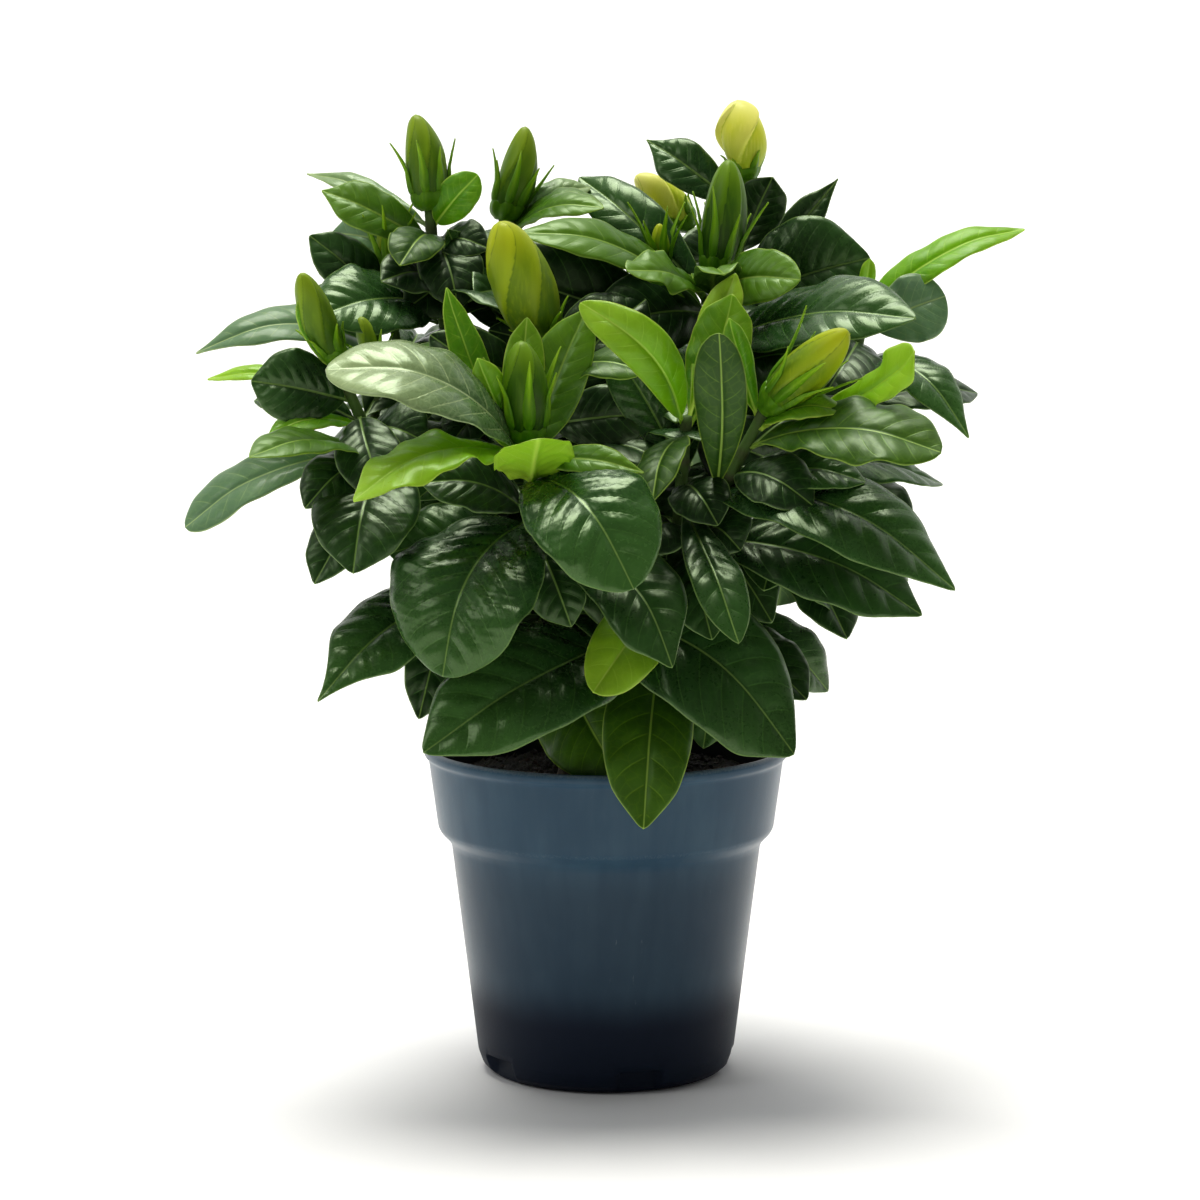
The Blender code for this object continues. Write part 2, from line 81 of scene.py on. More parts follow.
def around(r: Array | float, a: Array | float, z: Array | float) -> Array:
    """Points at radius r, angle a and height z round the Z axis."""
    return np.stack(np.broadcast_arrays(r * np.cos(a), r * np.sin(a), z), axis=-1)


def spokes(a: Array, side: Array, other: Array) -> Array:
    """Directions at angles a, counted from one side direction toward the other."""
    return np.cos(a)[..., None] * side + np.sin(a)[..., None] * other


def full_turn(steps: int) -> Array:
    """Angles that go round once in even steps."""
    return np.linspace(0, 2 * np.pi, steps, endpoint=False)


def dice(name: str) -> np.random.Generator:
    """A random source that depends only on a name.

    Args:
        name: any text, usually a piece's name.

    Returns:
        A generator seeded by the weighted sum of the letters.
    """
    return np.random.default_rng(sum((i + 1) * ord(c) for i, c in enumerate(name)))


# ------------------------------------------------------------------------------------------ meshes
@dataclass
class Patch:
    """A closed surface in millimetres: points, faces and named values at the points."""

    points: Array
    quads: Array
    tris: Array
    values: dict[str, Array]


def closed_rings(grid: Array, values: dict[str, Array]) -> Patch:
    """Joins rows of a ring-shaped section into a closed skin.

    Each row of the grid is one ring. Neighbouring rings are joined by four-sided faces, the first
    and last ring are closed by a fan to their middle, and the skin is turned outward by the sign of
    the volume that it encloses.

    Args:
        grid: points, shaped (rings, points in a ring, 3).
        values: arrays shaped (rings, points in a ring), kept at the points.

    Returns:
        The closed patch.
    """
    rows, cols = grid.shape[:2]
    index = np.arange(rows * cols).reshape(rows, cols)
    nxt = np.roll(index, -1, axis=1)
    quads = np.stack([index[:-1], nxt[:-1], nxt[1:], index[1:]], axis=-1).reshape(-1, 4)
    first, last = rows * cols, rows * cols + 1
    cap_a = np.stack([np.full(cols, first), nxt[0], index[0]], axis=-1)
    cap_b = np.stack([np.full(cols, last), index[-1], nxt[-1]], axis=-1)
    tris = np.concatenate([cap_a, cap_b])
    points = np.concatenate([grid.reshape(-1, 3), grid[:1].mean(1), grid[-1:].mean(1)])
    kept = {k: np.concatenate([v.reshape(-1), v[0].mean(keepdims=True), v[-1].mean(keepdims=True)])
            for k, v in values.items()}
    a, b, c, d = (points[quads[:, i]] for i in range(4))
    volume = np.einsum("ij,ij->", a, np.cross(b, c)) + np.einsum("ij,ij->", a, np.cross(c, d))
    if volume < 0:
        quads, tris = quads[:, ::-1], tris[:, ::-1]
    return Patch(points, quads, tris, kept)


def joined(patches: list[Patch]) -> Patch:
    """Puts several patches into one, keeping the values that they share.

    Args:
        patches: the surfaces, all with the same kinds of values.

    Returns:
        One patch with all their points and faces.
    """
    starts = np.cumsum([0] + [len(p.points) for p in patches[:-1]])
    names = set(patches[0].values)
    return Patch(
        np.concatenate([p.points for p in patches]),
        np.concatenate([p.quads + s for p, s in zip(patches, starts)]),
        np.concatenate([p.tris + s for p, s in zip(patches, starts)]),
        {k: np.concatenate([p.values[k] for p in patches]) for k in names},
    )


def mesh_of(name: str, patch: Patch) -> bpy.types.Mesh:
    """Makes a mesh, in metres, with a patch's faces and the values at its points.

    Args:
        name: the mesh's name.
        patch: the surface, in millimetres.

    Returns:
        The new mesh.
    """
    mesh = bpy.data.meshes.new(name)
    mesh.from_pydata((patch.points * MM).tolist(), [], patch.quads.tolist() + patch.tris.tolist())
    for key, data in patch.values.items():
        layer = mesh.attributes.new(key, "FLOAT", "POINT")
        layer.data.foreach_set("value", np.ascontiguousarray(data, dtype=np.float32))
    return mesh


def added(name: str, data: bpy.types.ID) -> bpy.types.Object:
    """Puts a new object into the scene.

    Args:
        name: the object's name.
        data: its mesh, light or camera.

    Returns:
        The object, at the origin.
    """
    obj = bpy.data.objects.new(name, data)
    bpy.context.scene.collection.objects.link(obj)
    return obj


def place(name: str, patch: Patch, material: bpy.types.Material, slot: str,
          stands_for: tuple[str, ...] = ()) -> bpy.types.Object:
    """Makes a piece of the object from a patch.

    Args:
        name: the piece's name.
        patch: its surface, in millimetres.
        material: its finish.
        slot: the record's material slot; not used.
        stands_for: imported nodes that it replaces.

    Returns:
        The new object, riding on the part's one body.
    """
    mesh = mesh_of(name, patch)
    mesh.materials.append(material)
    mesh.shade_smooth()
    obj = added(name, mesh)
    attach(obj, BODY)
    if stands_for:
        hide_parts(*stands_for)
    LOG.info("%s: %d points, %d faces", name, len(mesh.vertices), len(mesh.polygons))
    return obj


# --------------------------------------------------------------------------------- shader building
class Signal:
    """One shader output. Arithmetic on it adds Math nodes."""

    def __init__(self, paint: Paint, socket: bpy.types.NodeSocket) -> None:
        """Keeps the output and the node tree that it is in."""
        self.paint, self.socket = paint, socket

    def __add__(self, other: Signal | float) -> Signal:
        """Sum."""
        return self.paint.math("ADD", self, other)

    def __sub__(self, other: Signal | float) -> Signal:
        """Difference."""
        return self.paint.math("SUBTRACT", self, other)

    def __rsub__(self, other: Signal | float) -> Signal:
        """Difference with the number first."""
        return self.paint.math("SUBTRACT", other, self)

    def __mul__(self, other: Signal | float) -> Signal:
        """Product."""
        return self.paint.math("MULTIPLY", self, other)

    __radd__ = __add__
    __rmul__ = __mul__


class Paint:
    """The node tree of one material, or of the surround."""

    def __init__(self, name: str, owners: bpy.types.bpy_prop_collection | None = None) -> None:
        """Starts an empty tree.

        Args:
            name: the material's or the surround's name.
            owners: where it is kept, if not among the materials.
        """
        self.material = (bpy.data.materials if owners is None else owners).new(name)
        self.material.use_nodes = True
        self.tree = self.material.node_tree
        self.tree.nodes.clear()

    def node(self, kind: str, settings: dict | None = None,
             inputs: dict | None = None) -> bpy.types.Node:
        """Adds any node.

        Args:
            kind: the node's type name.
            settings: properties set first; "stops" fills a colour ramp with (place, colour) pairs.
            inputs: socket name or number to a value or a Signal.

        Returns:
            The node.
        """
        made = self.tree.nodes.new(kind)
        for key, value in (settings or {}).items():
            if key == "stops":
                ramp = made.color_ramp.elements
                while len(ramp) < len(value):
                    ramp.new(0.5)
                for stop, (where, colour) in zip(ramp, value):
                    stop.position, stop.color = where, (*colour, 1.0)
            else:
                setattr(made, key, value)
        for key, value in (inputs or {}).items():
            if isinstance(value, Signal):
                self.tree.links.new(value.socket, made.inputs[key])
            else:
                made.inputs[key].default_value = value
        return made

    def out(self, node: bpy.types.Node, name: str | int = 0) -> Signal:
        """Wraps one output of a node."""
        return Signal(self, node.outputs[name])

    def math(self, operation: str, a: Signal | float, b: Signal | float = 0.0) -> Signal:
        """A Math node on two values."""
        return self.out(self.node("ShaderNodeMath", {"operation": operation}, {0: a, 1: b}))

    def value(self, name: str) -> Signal:
        """A value kept at the mesh's points."""
        return self.out(self.node("ShaderNodeAttribute", {"attribute_name": name}), "Fac")

    def place(self) -> Signal:
        """Object coordinates, in metres."""
        return self.out(self.node("ShaderNodeTexCoord"), "Object")

    def scaled(self, x: float, y: float, z: float) -> Signal:
        """Object coordinates stretched along each axis."""
        ins = {"Vector": self.place(), "Scale": (x, y, z)}
        return self.out(self.node("ShaderNodeMapping", {}, ins))

    def noise(self, scale: float, detail: float = 3.0, where: Signal | None = None,
              rough: float = 0.5) -> Signal:
        """Fractal noise.

        Args:
            scale: how fine it is, in lumps a metre.
            detail: how many finer layers it has.
            where: coordinates, if not the object's own.
            rough: how strong the finer layers are.

        Returns:
            A value between 0 and 1.
        """
        ins = {"Scale": scale, "Detail": detail, "Roughness": rough,
               "Vector": where or self.place()}
        return self.out(self.node("ShaderNodeTexNoise", {}, ins), "Fac")

    def cells(self, scale: float, feature: str = "DISTANCE_TO_EDGE") -> Signal:
        """Distance pattern of Voronoi cells."""
        ins = {"Scale": scale, "Vector": self.place()}
        return self.out(self.node("ShaderNodeTexVoronoi", {"feature": feature}, ins), "Distance")

    def ease(self, x: Signal, low: float, high: float) -> Signal:
        """A smooth step.

        Args:
            x: the value.
            low: where the step starts; it may be the larger, and the step then falls.
            high: where the step ends.

        Returns:
            0 on the side of low, 1 on the side of high, and smooth between them.
        """
        ends = {"Value": x, "From Min": min(low, high), "From Max": max(low, high)}
        made = self.out(self.node("ShaderNodeMapRange", {"interpolation_type": "SMOOTHSTEP"}, ends))
        return made if low < high else 1.0 - made

    @staticmethod
    def opaque(colour: Signal | Colour) -> Signal | tuple[float, float, float, float]:
        """A Signal as it is, or three numbers with the fourth that a socket takes."""
        return colour if isinstance(colour, Signal) else (*colour, 1.0)

    def mix(self, share: Signal | float, a: Signal | Colour, b: Signal | Colour) -> Signal:
        """A colour between a and b."""
        ins = {0: share, 6: self.opaque(a), 7: self.opaque(b)}
        return self.out(self.node("ShaderNodeMix", {"data_type": "RGBA"}, ins), 2)

    def coats(self, colour: Signal | Colour,
              *coats: tuple[Signal | float, Signal | Colour]) -> Signal | Colour:
        """Lays colours over a first one, in turn.

        Args:
            colour: the ground.
            *coats: the share and the colour of each coat.

        Returns:
            The colour after the last coat.
        """
        for share, over in coats:
            colour = self.mix(share, colour, over)
        return colour

    def bump(self, height: Signal, strength: float, distance: float) -> Signal:
        """A surface direction from a height pattern."""
        ins = {"Height": height, "Strength": strength, "Distance": distance * MM}
        return self.out(self.node("ShaderNodeBump", {}, ins))

    def finish(self, base: Signal | Colour, glow: float = 0.0, through: Colour = (0.0, 0.0, 0.0),
               **sockets: Signal | float) -> bpy.types.Material:
        """Ends the tree in a Principled shader, with a share of light let through from behind.

        Args:
            base: colour of the surface.
            glow: share of the light from behind.
            through: the colour which that light takes.
            **sockets: further sockets, with underscores for spaces.

        Returns:
            The finished material.
        """
        ins = {k.replace("_", " "): v for k, v in sockets.items()}
        ins["Base Color"] = self.opaque(base)
        shader = self.out(self.node("ShaderNodeBsdfPrincipled", {}, ins))
        if glow > 0.0:
            tint = {"Color": self.opaque(through)}
            behind = self.out(self.node("ShaderNodeBsdfTranslucent", {}, tint))
            shader = self.out(self.node("ShaderNodeMixShader", {}, {0: glow, 1: shader, 2: behind}))
        self.node("ShaderNodeOutputMaterial", {}, {"Surface": shader})
        return self.material


# ---------------------------------------------------------------------------------------- finishes
@dataclass(frozen=True)
class LeafFinish:
    """Skin of a leaf: quilted and glossy above, paler and dull below, with its ribs and margin, and
    with painted light and shade by its tone, toward its tip and along its veins.
    """

    name: str
    slot: str
    deep: Colour
    body: Colour
    # light: the pale colour of the veins, and also a painted highlight toward the tip of a
    # light-toned leaf
    light: Colour
    rib: Colour
    under: Colour
    edge: Colour
    rough: float
    glow: float
    through: Colour
    coat: float
    gloss: Colour = (0.72, 1.0, 0.50)

    def material(self) -> bpy.types.Material:
        """Builds the shader from the values kept on each leaf.

        "rib" and "edge" are the distances in mm from the midrib and from the margin, "phase" counts
        side veins, "along" goes from stalk to tip, "top" is 1 on the upper side, and "tone" is the
        leaf's lightness, drawn by chance or given as painted light and shade.

        Returns:
            The material.
        """
        p = Paint(self.name)
        patches, grain = p.noise(55, 3), p.noise(600, 4)
        rib, edge, top = p.value("rib"), p.value("edge"), p.value("top")
        phase, along, shade = p.value("phase"), p.value("along"), p.value("tone")
        away = p.math("PINGPONG", phase, 0.5)
        vein = p.ease(away, 0.055, 0.0) * p.ease(rib, 0.4, 1.4) * p.ease(edge, 0.6, 3.5)
        twig = p.ease(p.cells(260), 0.10, 0.0) * p.ease(rib, 0.6, 2.0)
        streak = p.node("ShaderNodeCombineXYZ", {}, {0: phase * 5.0, 1: rib * 0.13, 2: shade * 9})
        crease = p.math("ABSOLUTE", p.noise(1.0, 2, p.out(streak), 0.5) - 0.5)
        # painted light and shade: tone, given leaf by leaf for how lit the leaf is or drawn by
        # chance, moves the blade between deep and body
        tone = p.ease(patches + (shade - 0.5) * 0.7, 0.2, 0.85)
        blade = p.mix(tone, self.deep, self.body)
        # painted shade: the blade is darkened toward deep in the valleys along the side veins
        blade = p.mix(p.ease(away, 0.02, 0.32) * 0.35, p.mix(0.35, blade, self.deep), blade)
        front = p.coats(blade,
                        # painted highlight: the light colour laid toward the tip, in step with the
                        # tone
                        (p.ease(along, 0.35, 1.0) * shade * 0.5, self.light),
                        (vein * 0.45, self.light),
                        (twig * 0.12, self.light),
                        (p.ease(edge, 0.55, 0.1) * 0.75, self.edge),
                        (p.ease(rib + along * 0.25, 0.62, 0.34) * 0.85, self.rib))
        back = p.coats(p.mix(patches, self.under, p.mix(0.3, self.under, self.light)),
                       (vein * 0.5, self.rib), (p.ease(rib, 1.3, 0.5) * 0.8, self.rib))
        colour = p.mix(p.ease(top, 0.35, 0.65), back, front)
        rough = ((grain - 0.5) * 0.22 + (patches - 0.5) * 0.14 + (1.0 - top) * 0.25
                 + (1.0 - shade) * 0.10 + self.rough)
        height = (p.noise(500, 1) * 0.15 + vein * -0.4 + p.noise(170, 1) * 0.7
                  + crease * 1.1 * p.ease(rib, 0.8, 3.0))
        return p.finish(colour, self.glow, self.through, Roughness=rough, Specular_IOR_Level=0.50,
                        Specular_Tint=(*self.gloss, 1.0), Coat_Roughness=0.17,
                        Coat_Weight=top * self.coat, Normal=p.bump(height, 0.35, 0.35))


@dataclass(frozen=True)
class BudFinish:
    """Skin of a furled bud: streaked petals, with painted shade where one slips under the next."""

    name: str
    slot: str
    base: Colour
    body: Colour
    crest: Colour
    tip: Colour
    glow: float

    def material(self) -> bpy.types.Material:
        """Builds the shader from the height on the bud and "furl", 0 to 1 across each petal.

        Returns:
            The material.
        """
        p = Paint(self.name)
        along, furl = p.value("along"), p.value("furl")
        streak = p.noise(1.0, 3, p.scaled(900, 900, 90))
        blotch = p.noise(140, 3)
        colour = p.coats(self.base,
                         (p.ease(along + (blotch - 0.5) * 0.3, 0.18, 0.90), self.body),
                         (p.ease(furl, 0.35, 0.95) * p.ease(along, 0.1, 0.7) * 0.75, self.crest),
                         (p.ease(along, 0.62, 1.0) * 0.6, self.tip),
                         (p.ease(streak, 0.45, 0.75) * 0.30, self.crest),
                         # painted shade where a petal slips under the next
                         (p.ease(furl, 0.10, 0.0) * 0.7, self.base))
        height = streak * 0.5 + p.noise(500, 2) * 0.4
        return p.finish(colour, self.glow, self.crest, Roughness=(blotch - 0.5) * 0.2 + 0.46,
                        Specular_IOR_Level=0.32, Specular_Tint=(0.9, 1.0, 0.5, 1.0),
                        Coat_Weight=0.04, Normal=p.bump(height, 0.3, 0.3))


@dataclass(frozen=True)
class BarkFinish:
    """Stem skin: grey-brown cork with pale flecks low down, green and smooth near the buds."""

    name: str = "stem_skin"
    cork: Colour = (0.050, 0.040, 0.024)
    fleck: Colour = (0.14, 0.12, 0.075)
    green: Colour = (0.060, 0.130, 0.020)

    def material(self) -> bpy.types.Material:
        """Builds the shader from the age kept along each stem.

        Returns:
            The material.
        """
        p = Paint(self.name)
        age, grain = p.value("age"), p.noise(1.0, 4, p.scaled(700, 700, 130))
        cork = p.mix(p.ease(grain, 0.35, 0.7), self.cork, p.mix(0.5, self.cork, self.fleck))
        cork = p.mix(p.ease(p.cells(420, "F1"), 0.22, 0.1) * 0.7, cork, self.fleck)
        green = p.mix(p.noise(300, 2), self.green, p.mix(0.4, self.green, self.cork))
        colour = p.mix(p.ease(age + (grain - 0.5) * 0.4, 0.35, 0.80), green, cork)
        colour = p.mix(p.value("scar") * 0.7, colour, self.cork)
        return p.finish(colour, Roughness=(grain - 0.5) * 0.2 + 0.66, Specular_IOR_Level=0.2,
                        Normal=p.bump(grain + p.noise(900, 2) * 0.4, 0.5, 0.5))


@dataclass(frozen=True)
class SoilFinish:
    """Damp peat: near black, with brown fibre."""

    name: str
    dark: Colour
    brown: Colour
    rough: float

    def material(self) -> bpy.types.Material:
        """Builds the shader from coarse and fine grain.

        Returns:
            The material.
        """
        p = Paint(self.name)
        big, fine = p.noise(180, 4), p.noise(1400, 3)
        colour = p.mix(p.ease(big * 0.6 + fine * 0.4, 0.42, 0.68), self.dark, self.brown)
        height = fine * 0.7 + p.cells(700) * 1.5
        return p.finish(colour, Roughness=(fine - 0.5) * 0.3 + self.rough,
                        Normal=p.bump(height, 0.8, 0.8))


@dataclass(frozen=True)
class PotFinish:
    """Thin slate-blue moulded plastic with faint scuffs, duller toward the foot, where painted
    shade makes it almost black.
    """

    name: str = "pot_skin"
    slate: Colour = (0.024, 0.059, 0.098)
    pale: Colour = (0.040, 0.084, 0.126)
    # deep: painted shade, laid on the lower body
    deep: Colour = (0.008, 0.022, 0.040)
    # foot: painted shade, laid on the foot
    foot: Colour = (0.004, 0.009, 0.022)
    inside: Colour = (0.012, 0.016, 0.021)
    scuffed: Colour = (0.30, 0.34, 0.37)
    rubbed: Colour = (0.30, 0.34, 0.36)
    shade_z: tuple[float, float] = (92.0, 70.0)    # mm between which painted shade darkens the body
    foot_shade_z: tuple[float, float] = (41.0, 23.0)     # mm between which the painted shade of the foot sets in

    def material(self) -> bpy.types.Material:
        """Builds the shader from height, which carries the painted shade low on the pot, inner side
        and wear.

        Returns:
            The material.
        """
        p = Paint(self.name)
        height = p.value("height")
        cloud, flow = p.noise(26, 3), p.noise(1.0, 3, p.scaled(160, 160, 30))
        speck = p.noise(1500, 2)
        scuff = p.ease(p.noise(1.0, 4, p.scaled(500, 500, 45), 0.7), 0.64, 0.74)
        scuff = scuff * p.ease(p.noise(30, 1), 0.52, 0.68)
        rub = p.ease(speck * 0.5 + p.value("wear"), 0.72, 1.2)
        # painted shade: the foot is coloured almost black for the dark reflection low on the pot;
        # the same mask also makes it duller
        foot_shade_and_dullness = p.ease(height + (cloud - 0.5) * 5.0, *self.foot_shade_z)
        colour = p.coats(self.slate,
                         (p.ease(cloud * 0.6 + flow * 0.4, 0.35, 0.7), self.pale),
                         # painted shade on the lower body, growing toward the foot
                         (p.ease(height, *self.shade_z) * 0.55, self.deep),
                         (scuff * 0.35, self.scuffed),
                         (rub * 0.30, self.rubbed),
                         (foot_shade_and_dullness, self.foot),
                         (p.value("inner"), self.inside))
        rough = (speck - 0.5) * 0.10 + (cloud - 0.5) * 0.10 + scuff * 0.18 + foot_shade_and_dullness * 0.10 + 0.40
        relief = speck * 0.30 + flow * 0.5 + scuff * -0.6
        return p.finish(colour, Roughness=rough, Specular_IOR_Level=0.12,
                        Coat_Weight=(1.0 - foot_shade_and_dullness) * 0.5, Coat_IOR=1.22, Coat_Roughness=0.26,
                        Normal=p.bump(relief, 0.18, 0.25))


MATURE = LeafFinish("leaf_mature_skin", "leaf_mature", (0.003, 0.015, 0.003), (0.012, 0.050, 0.009),
                    (0.060, 0.155, 0.028), (0.15, 0.25, 0.055), (0.050, 0.105, 0.030),
                    (0.13, 0.22, 0.05), 0.26, 0.0, (0.05, 0.2, 0.01), 0.08)
# painted sheen: a lighter, silvery copy of the mature finish for a leaf that catches the light
SILVER = LeafFinish("leaf_silver_skin", "leaf_mature", (0.020, 0.055, 0.018), (0.080, 0.150, 0.050),
                    (0.460, 0.560, 0.260), (0.36, 0.45, 0.20), (0.080, 0.150, 0.050),
                    (0.40, 0.52, 0.22), 0.28, 0.0, (0.05, 0.2, 0.01), 0.30)
MIDDLE = LeafFinish("leaf_mid_skin", "leaf_mid", (0.014, 0.052, 0.002), (0.060, 0.168, 0.005),
                    (0.160, 0.320, 0.015), (0.28, 0.44, 0.06), (0.085, 0.180, 0.030),
                    (0.30, 0.46, 0.05), 0.36, 0.12, (0.16, 0.42, 0.02), 0.08)
YOUNG = LeafFinish("leaf_young_skin", "leaf_young", (0.050, 0.190, 0.002), (0.260, 0.520, 0.004),
                   (0.560, 0.770, 0.070), (0.56, 0.72, 0.10), (0.290, 0.460, 0.020),
                   (0.55, 0.68, 0.10), 0.32, 0.34, (0.48, 0.85, 0.015), 0.10)
# painted light: a pale grey copy of the mature finish for leaves that look grey and backlit
PALE = LeafFinish("leaf_pale_skin", "leaf_mature", (0.105, 0.200, 0.100), (0.170, 0.290, 0.120),
                  (0.330, 0.450, 0.160), (0.40, 0.52, 0.20), (0.160, 0.280, 0.090),
                  (0.42, 0.55, 0.22), 0.40, 0.20, (0.30, 0.55, 0.10), 0.30)
GREEN_BUD = BudFinish("bud_green_skin", "bud_green", (0.008, 0.045, 0.001), (0.042, 0.125, 0.002),
                      (0.110, 0.240, 0.004), (0.20, 0.36, 0.008), 0.10)
OLIVE_BUD = BudFinish("bud_olive_skin", "bud_green", (0.045, 0.120, 0.002), (0.210, 0.330, 0.004),
                      (0.400, 0.520, 0.010), (0.58, 0.60, 0.015), 0.14)
SOFT_BUD = BudFinish("bud_soft_skin", "bud_green", (0.030, 0.100, 0.002), (0.115, 0.220, 0.005),
                     (0.210, 0.350, 0.010), (0.29, 0.40, 0.015), 0.14)
CREAM_BUD = BudFinish("bud_cream_skin", "bud_cream", (0.36, 0.50, 0.015), (0.86, 0.86, 0.05),
                      (0.95, 0.92, 0.20), (0.95, 0.92, 0.36), 0.15)
SEPAL_SKIN = BudFinish("sepal_skin", "bud_green", (0.070, 0.210, 0.004), (0.180, 0.400, 0.006),
                       (0.300, 0.540, 0.015), (0.42, 0.60, 0.03), 0.25)


# ------------------------------------------------------------------------------------------- stems
@dataclass(frozen=True)
class Shoot:
    """A length of stem from a start point, bent toward a control point, to its top."""

    stem: str
    start: Point
    bend: Point
    top: Point
    r_start: float
    r_top: float
    age: tuple[float, float] = (0.9, 0.2)    # of the bark at the start and at the top
    joint: float = 0.16                      # how much a leaf joint stands out, against the radius
    flare: float = 0.5                       # how much a trunk's foot widens, against the radius

    def at(self, t: Array | float) -> Array:
        """Points of the centre line: start, bend and top by the quadratic Bezier weights.

        Args:
            t: places on the shoot, 0 at the start and 1 at the top.

        Returns:
            The points, mm.
        """
        t = np.asarray(t, float)[..., None]
        a, b, c = (np.asarray(p, float) for p in (self.start, self.bend, self.top))
        return (1 - t) ** 2 * a + 2 * t * (1 - t) * b + t * t * c

    def along(self, t: Array | float) -> Array:
        """Direction of growth: the derivative of the centre line, scaled to length one.

        Args:
            t: places on the shoot, 0 at the start and 1 at the top.

        Returns:
            The directions.
        """
        t = np.asarray(t, float)[..., None]
        a, b, c = (np.asarray(p, float) for p in (self.start, self.bend, self.top))
        return unit(2 * (1 - t) * (b - a) + 2 * t * (c - b))

    def radius(self, t: Array | float) -> Array:
        """Radius, tapering evenly to the top."""
        return self.r_start + (self.r_top - self.r_start) * np.asarray(t, float)

    def skin(self, seed: str, trunk: bool) -> Patch:
        """A tube round the centre line, thickened at its leaf joints and waved like living wood.

        The radius at (t, a) is the taper, raised at each joint by a narrow bell, times a slow wave
        round and along the stem; a trunk also flares where it meets the soil.

        Args:
            seed: name that fixes the waves.
            trunk: whether the foot widens into the soil.

        Returns:
            The closed tube with its age and joint scars.
        """
        rng = dice(seed)
        t, a = np.linspace(0, 1, 56), full_turn(18)
        tangent = self.along(t)
        side = unit(np.cross(tangent, STEM_ASIDE))
        other = np.cross(tangent, side)
        joints = np.arange(0.12, 0.99, 0.105) + rng.uniform(-0.02, 0.02, 9)
        bell = np.exp(-((t[:, None] - joints) / 0.012) ** 2).sum(1)
        wave = (0.05 * np.sin(3 * a + 9 * t[:, None] + rng.uniform(0, 6))
                + 0.04 * np.sin(2 * a - 23 * t[:, None]))
        radius = self.radius(t)[:, None] * (1 + self.joint * bell[:, None] + wave)
        if trunk:
            roots = np.exp(-t[:, None] / 0.05) * (1 + 0.4 * np.sin(5 * a))
            radius = radius * (1 + self.flare * roots)
        ring = spokes(a[None], side[:, None], other[:, None])
        grid = self.at(t)[:, None] + radius[..., None] * ring
        age = (self.age[0] + (self.age[1] - self.age[0]) * t)[:, None] + 0 * wave
        return closed_rings(grid, {"age": age, "scar": np.clip(bell, 0, 1)[:, None] + 0 * wave})


SHOOTS: dict[str, Shoot] = {
    "left_trunk": Shoot("stem_left", (-12, -8, 105), (-12, -8, 140), (-20, -12, 172), 4.6, 3.6,
                        (1, 0.85)),
    "front": Shoot("stem_left", (-15, -9, 146), (-24, -46, 168), (-27, -57, 232), 3.2, 1.9),
    "big": Shoot("stem_left", (-20, -12, 168), (-24, -18, 215), (-20, -22, 261), 3.3, 1.9),
    "left": Shoot("stem_left", (-17, -10, 156), (-64, -26, 178), (-93, -34, 258), 3.2, 1.9),
    "left_twig": Shoot("stem_left", (-83, -31, 230), (-80, -24, 238), (-80, -18, 253), 1.9, 1.4,
                       (0.4, 0.1)),
    "right_trunk": Shoot("stem_right", (15, -6, 105), (15, -6, 138), (22, -9, 168), 4.6, 3.6,
                         (1, 0.85)),
    "centre": Shoot("stem_right", (18, -7, 148), (24, -34, 176), (28, -38, 240), 3.2, 1.9),
    "right": Shoot("stem_right", (22, -9, 165), (26, -48, 190), (55, -50, 244), 3.3, 1.9),
    "far_right": Shoot("stem_right", (20, -8, 158), (78, 4, 180), (94, 20, 280), 3.2, 1.9),
    "rear_trunk": Shoot("stem_rear", (0, 18, 105), (0, 18, 140), (-2, 24, 176), 4.6, 3.8,
                        (1, 0.85)),
    "rear_right": Shoot("stem_rear", (-1, 22, 166), (34, 18, 200), (39, 20, 284), 3.0, 1.9),
    "rear_high": Shoot("stem_rear", (-2, 23, 172), (42, 52, 220), (52, 60, 316), 3.0, 1.9),
    "high_twig": Shoot("stem_rear", (48, 55, 280), (38, 62, 284), (31, 74, 299), 1.9, 1.5,
                       (0.4, 0.1)),
    "inner_twig": Shoot("stem_rear", (37, 19, 264), (26, 22, 270), (21, 25, 286), 1.8, 1.4,
                        (0.4, 0.1)),
    "rear_left": Shoot("stem_rear", (-2, 23, 168), (-56, 14, 205), (-63, 20, 309), 3.2, 1.9),
    "rear_centre": Shoot("stem_rear", (-2, 24, 174), (-30, 40, 220), (-37, 40, 304), 3.0, 1.9),
    "mid_left": Shoot("stem_rear", (-1, 21, 160), (-70, 22, 190), (-78, 20, 282), 2.8, 1.6),
    "back": Shoot("stem_rear", (-1, 21, 152), (-10, 66, 176), (-12, 78, 262), 3.0, 1.9),
}


@dataclass
class Stems:
    """The three woody cuttings."""

    finish: BarkFinish = BarkFinish()

    def build(self) -> None:
        """Makes one piece for each cutting from its shoots."""
        skin = self.finish.material()
        for stem in ("stem_left", "stem_right", "stem_rear"):
            tubes = [s.skin(n, n.endswith("trunk")) for n, s in SHOOTS.items() if s.stem == stem]
            place(stem.replace("stem_", "woody_stem_"), joined(tubes), skin, "stem_bark", (stem,))


# ------------------------------------------------------------------------------------------ leaves
class Age(Enum):
    """How old a leaf is, which sets its finish and how deep its quilting is; the last two members
    are not ages but copies of the mature leaf with painted light, pale grey and silvery.
    """

    MATURE = "mature"
    MIDDLE = "middle"
    YOUNG = "young"
    # a mature leaf with painted pale light, not an age
    PALE = "pale"
    # a mature leaf with painted sheen, not an age
    SILVER = "silver"


FINISH_OF = {Age.MATURE: MATURE, Age.MIDDLE: MIDDLE, Age.YOUNG: YOUNG, Age.PALE: PALE,
             Age.SILVER: SILVER}
QUILT_OF = {Age.MATURE: 1.0, Age.MIDDLE: 0.62, Age.YOUNG: 0.42, Age.PALE: 0.6, Age.SILVER: 0.6}


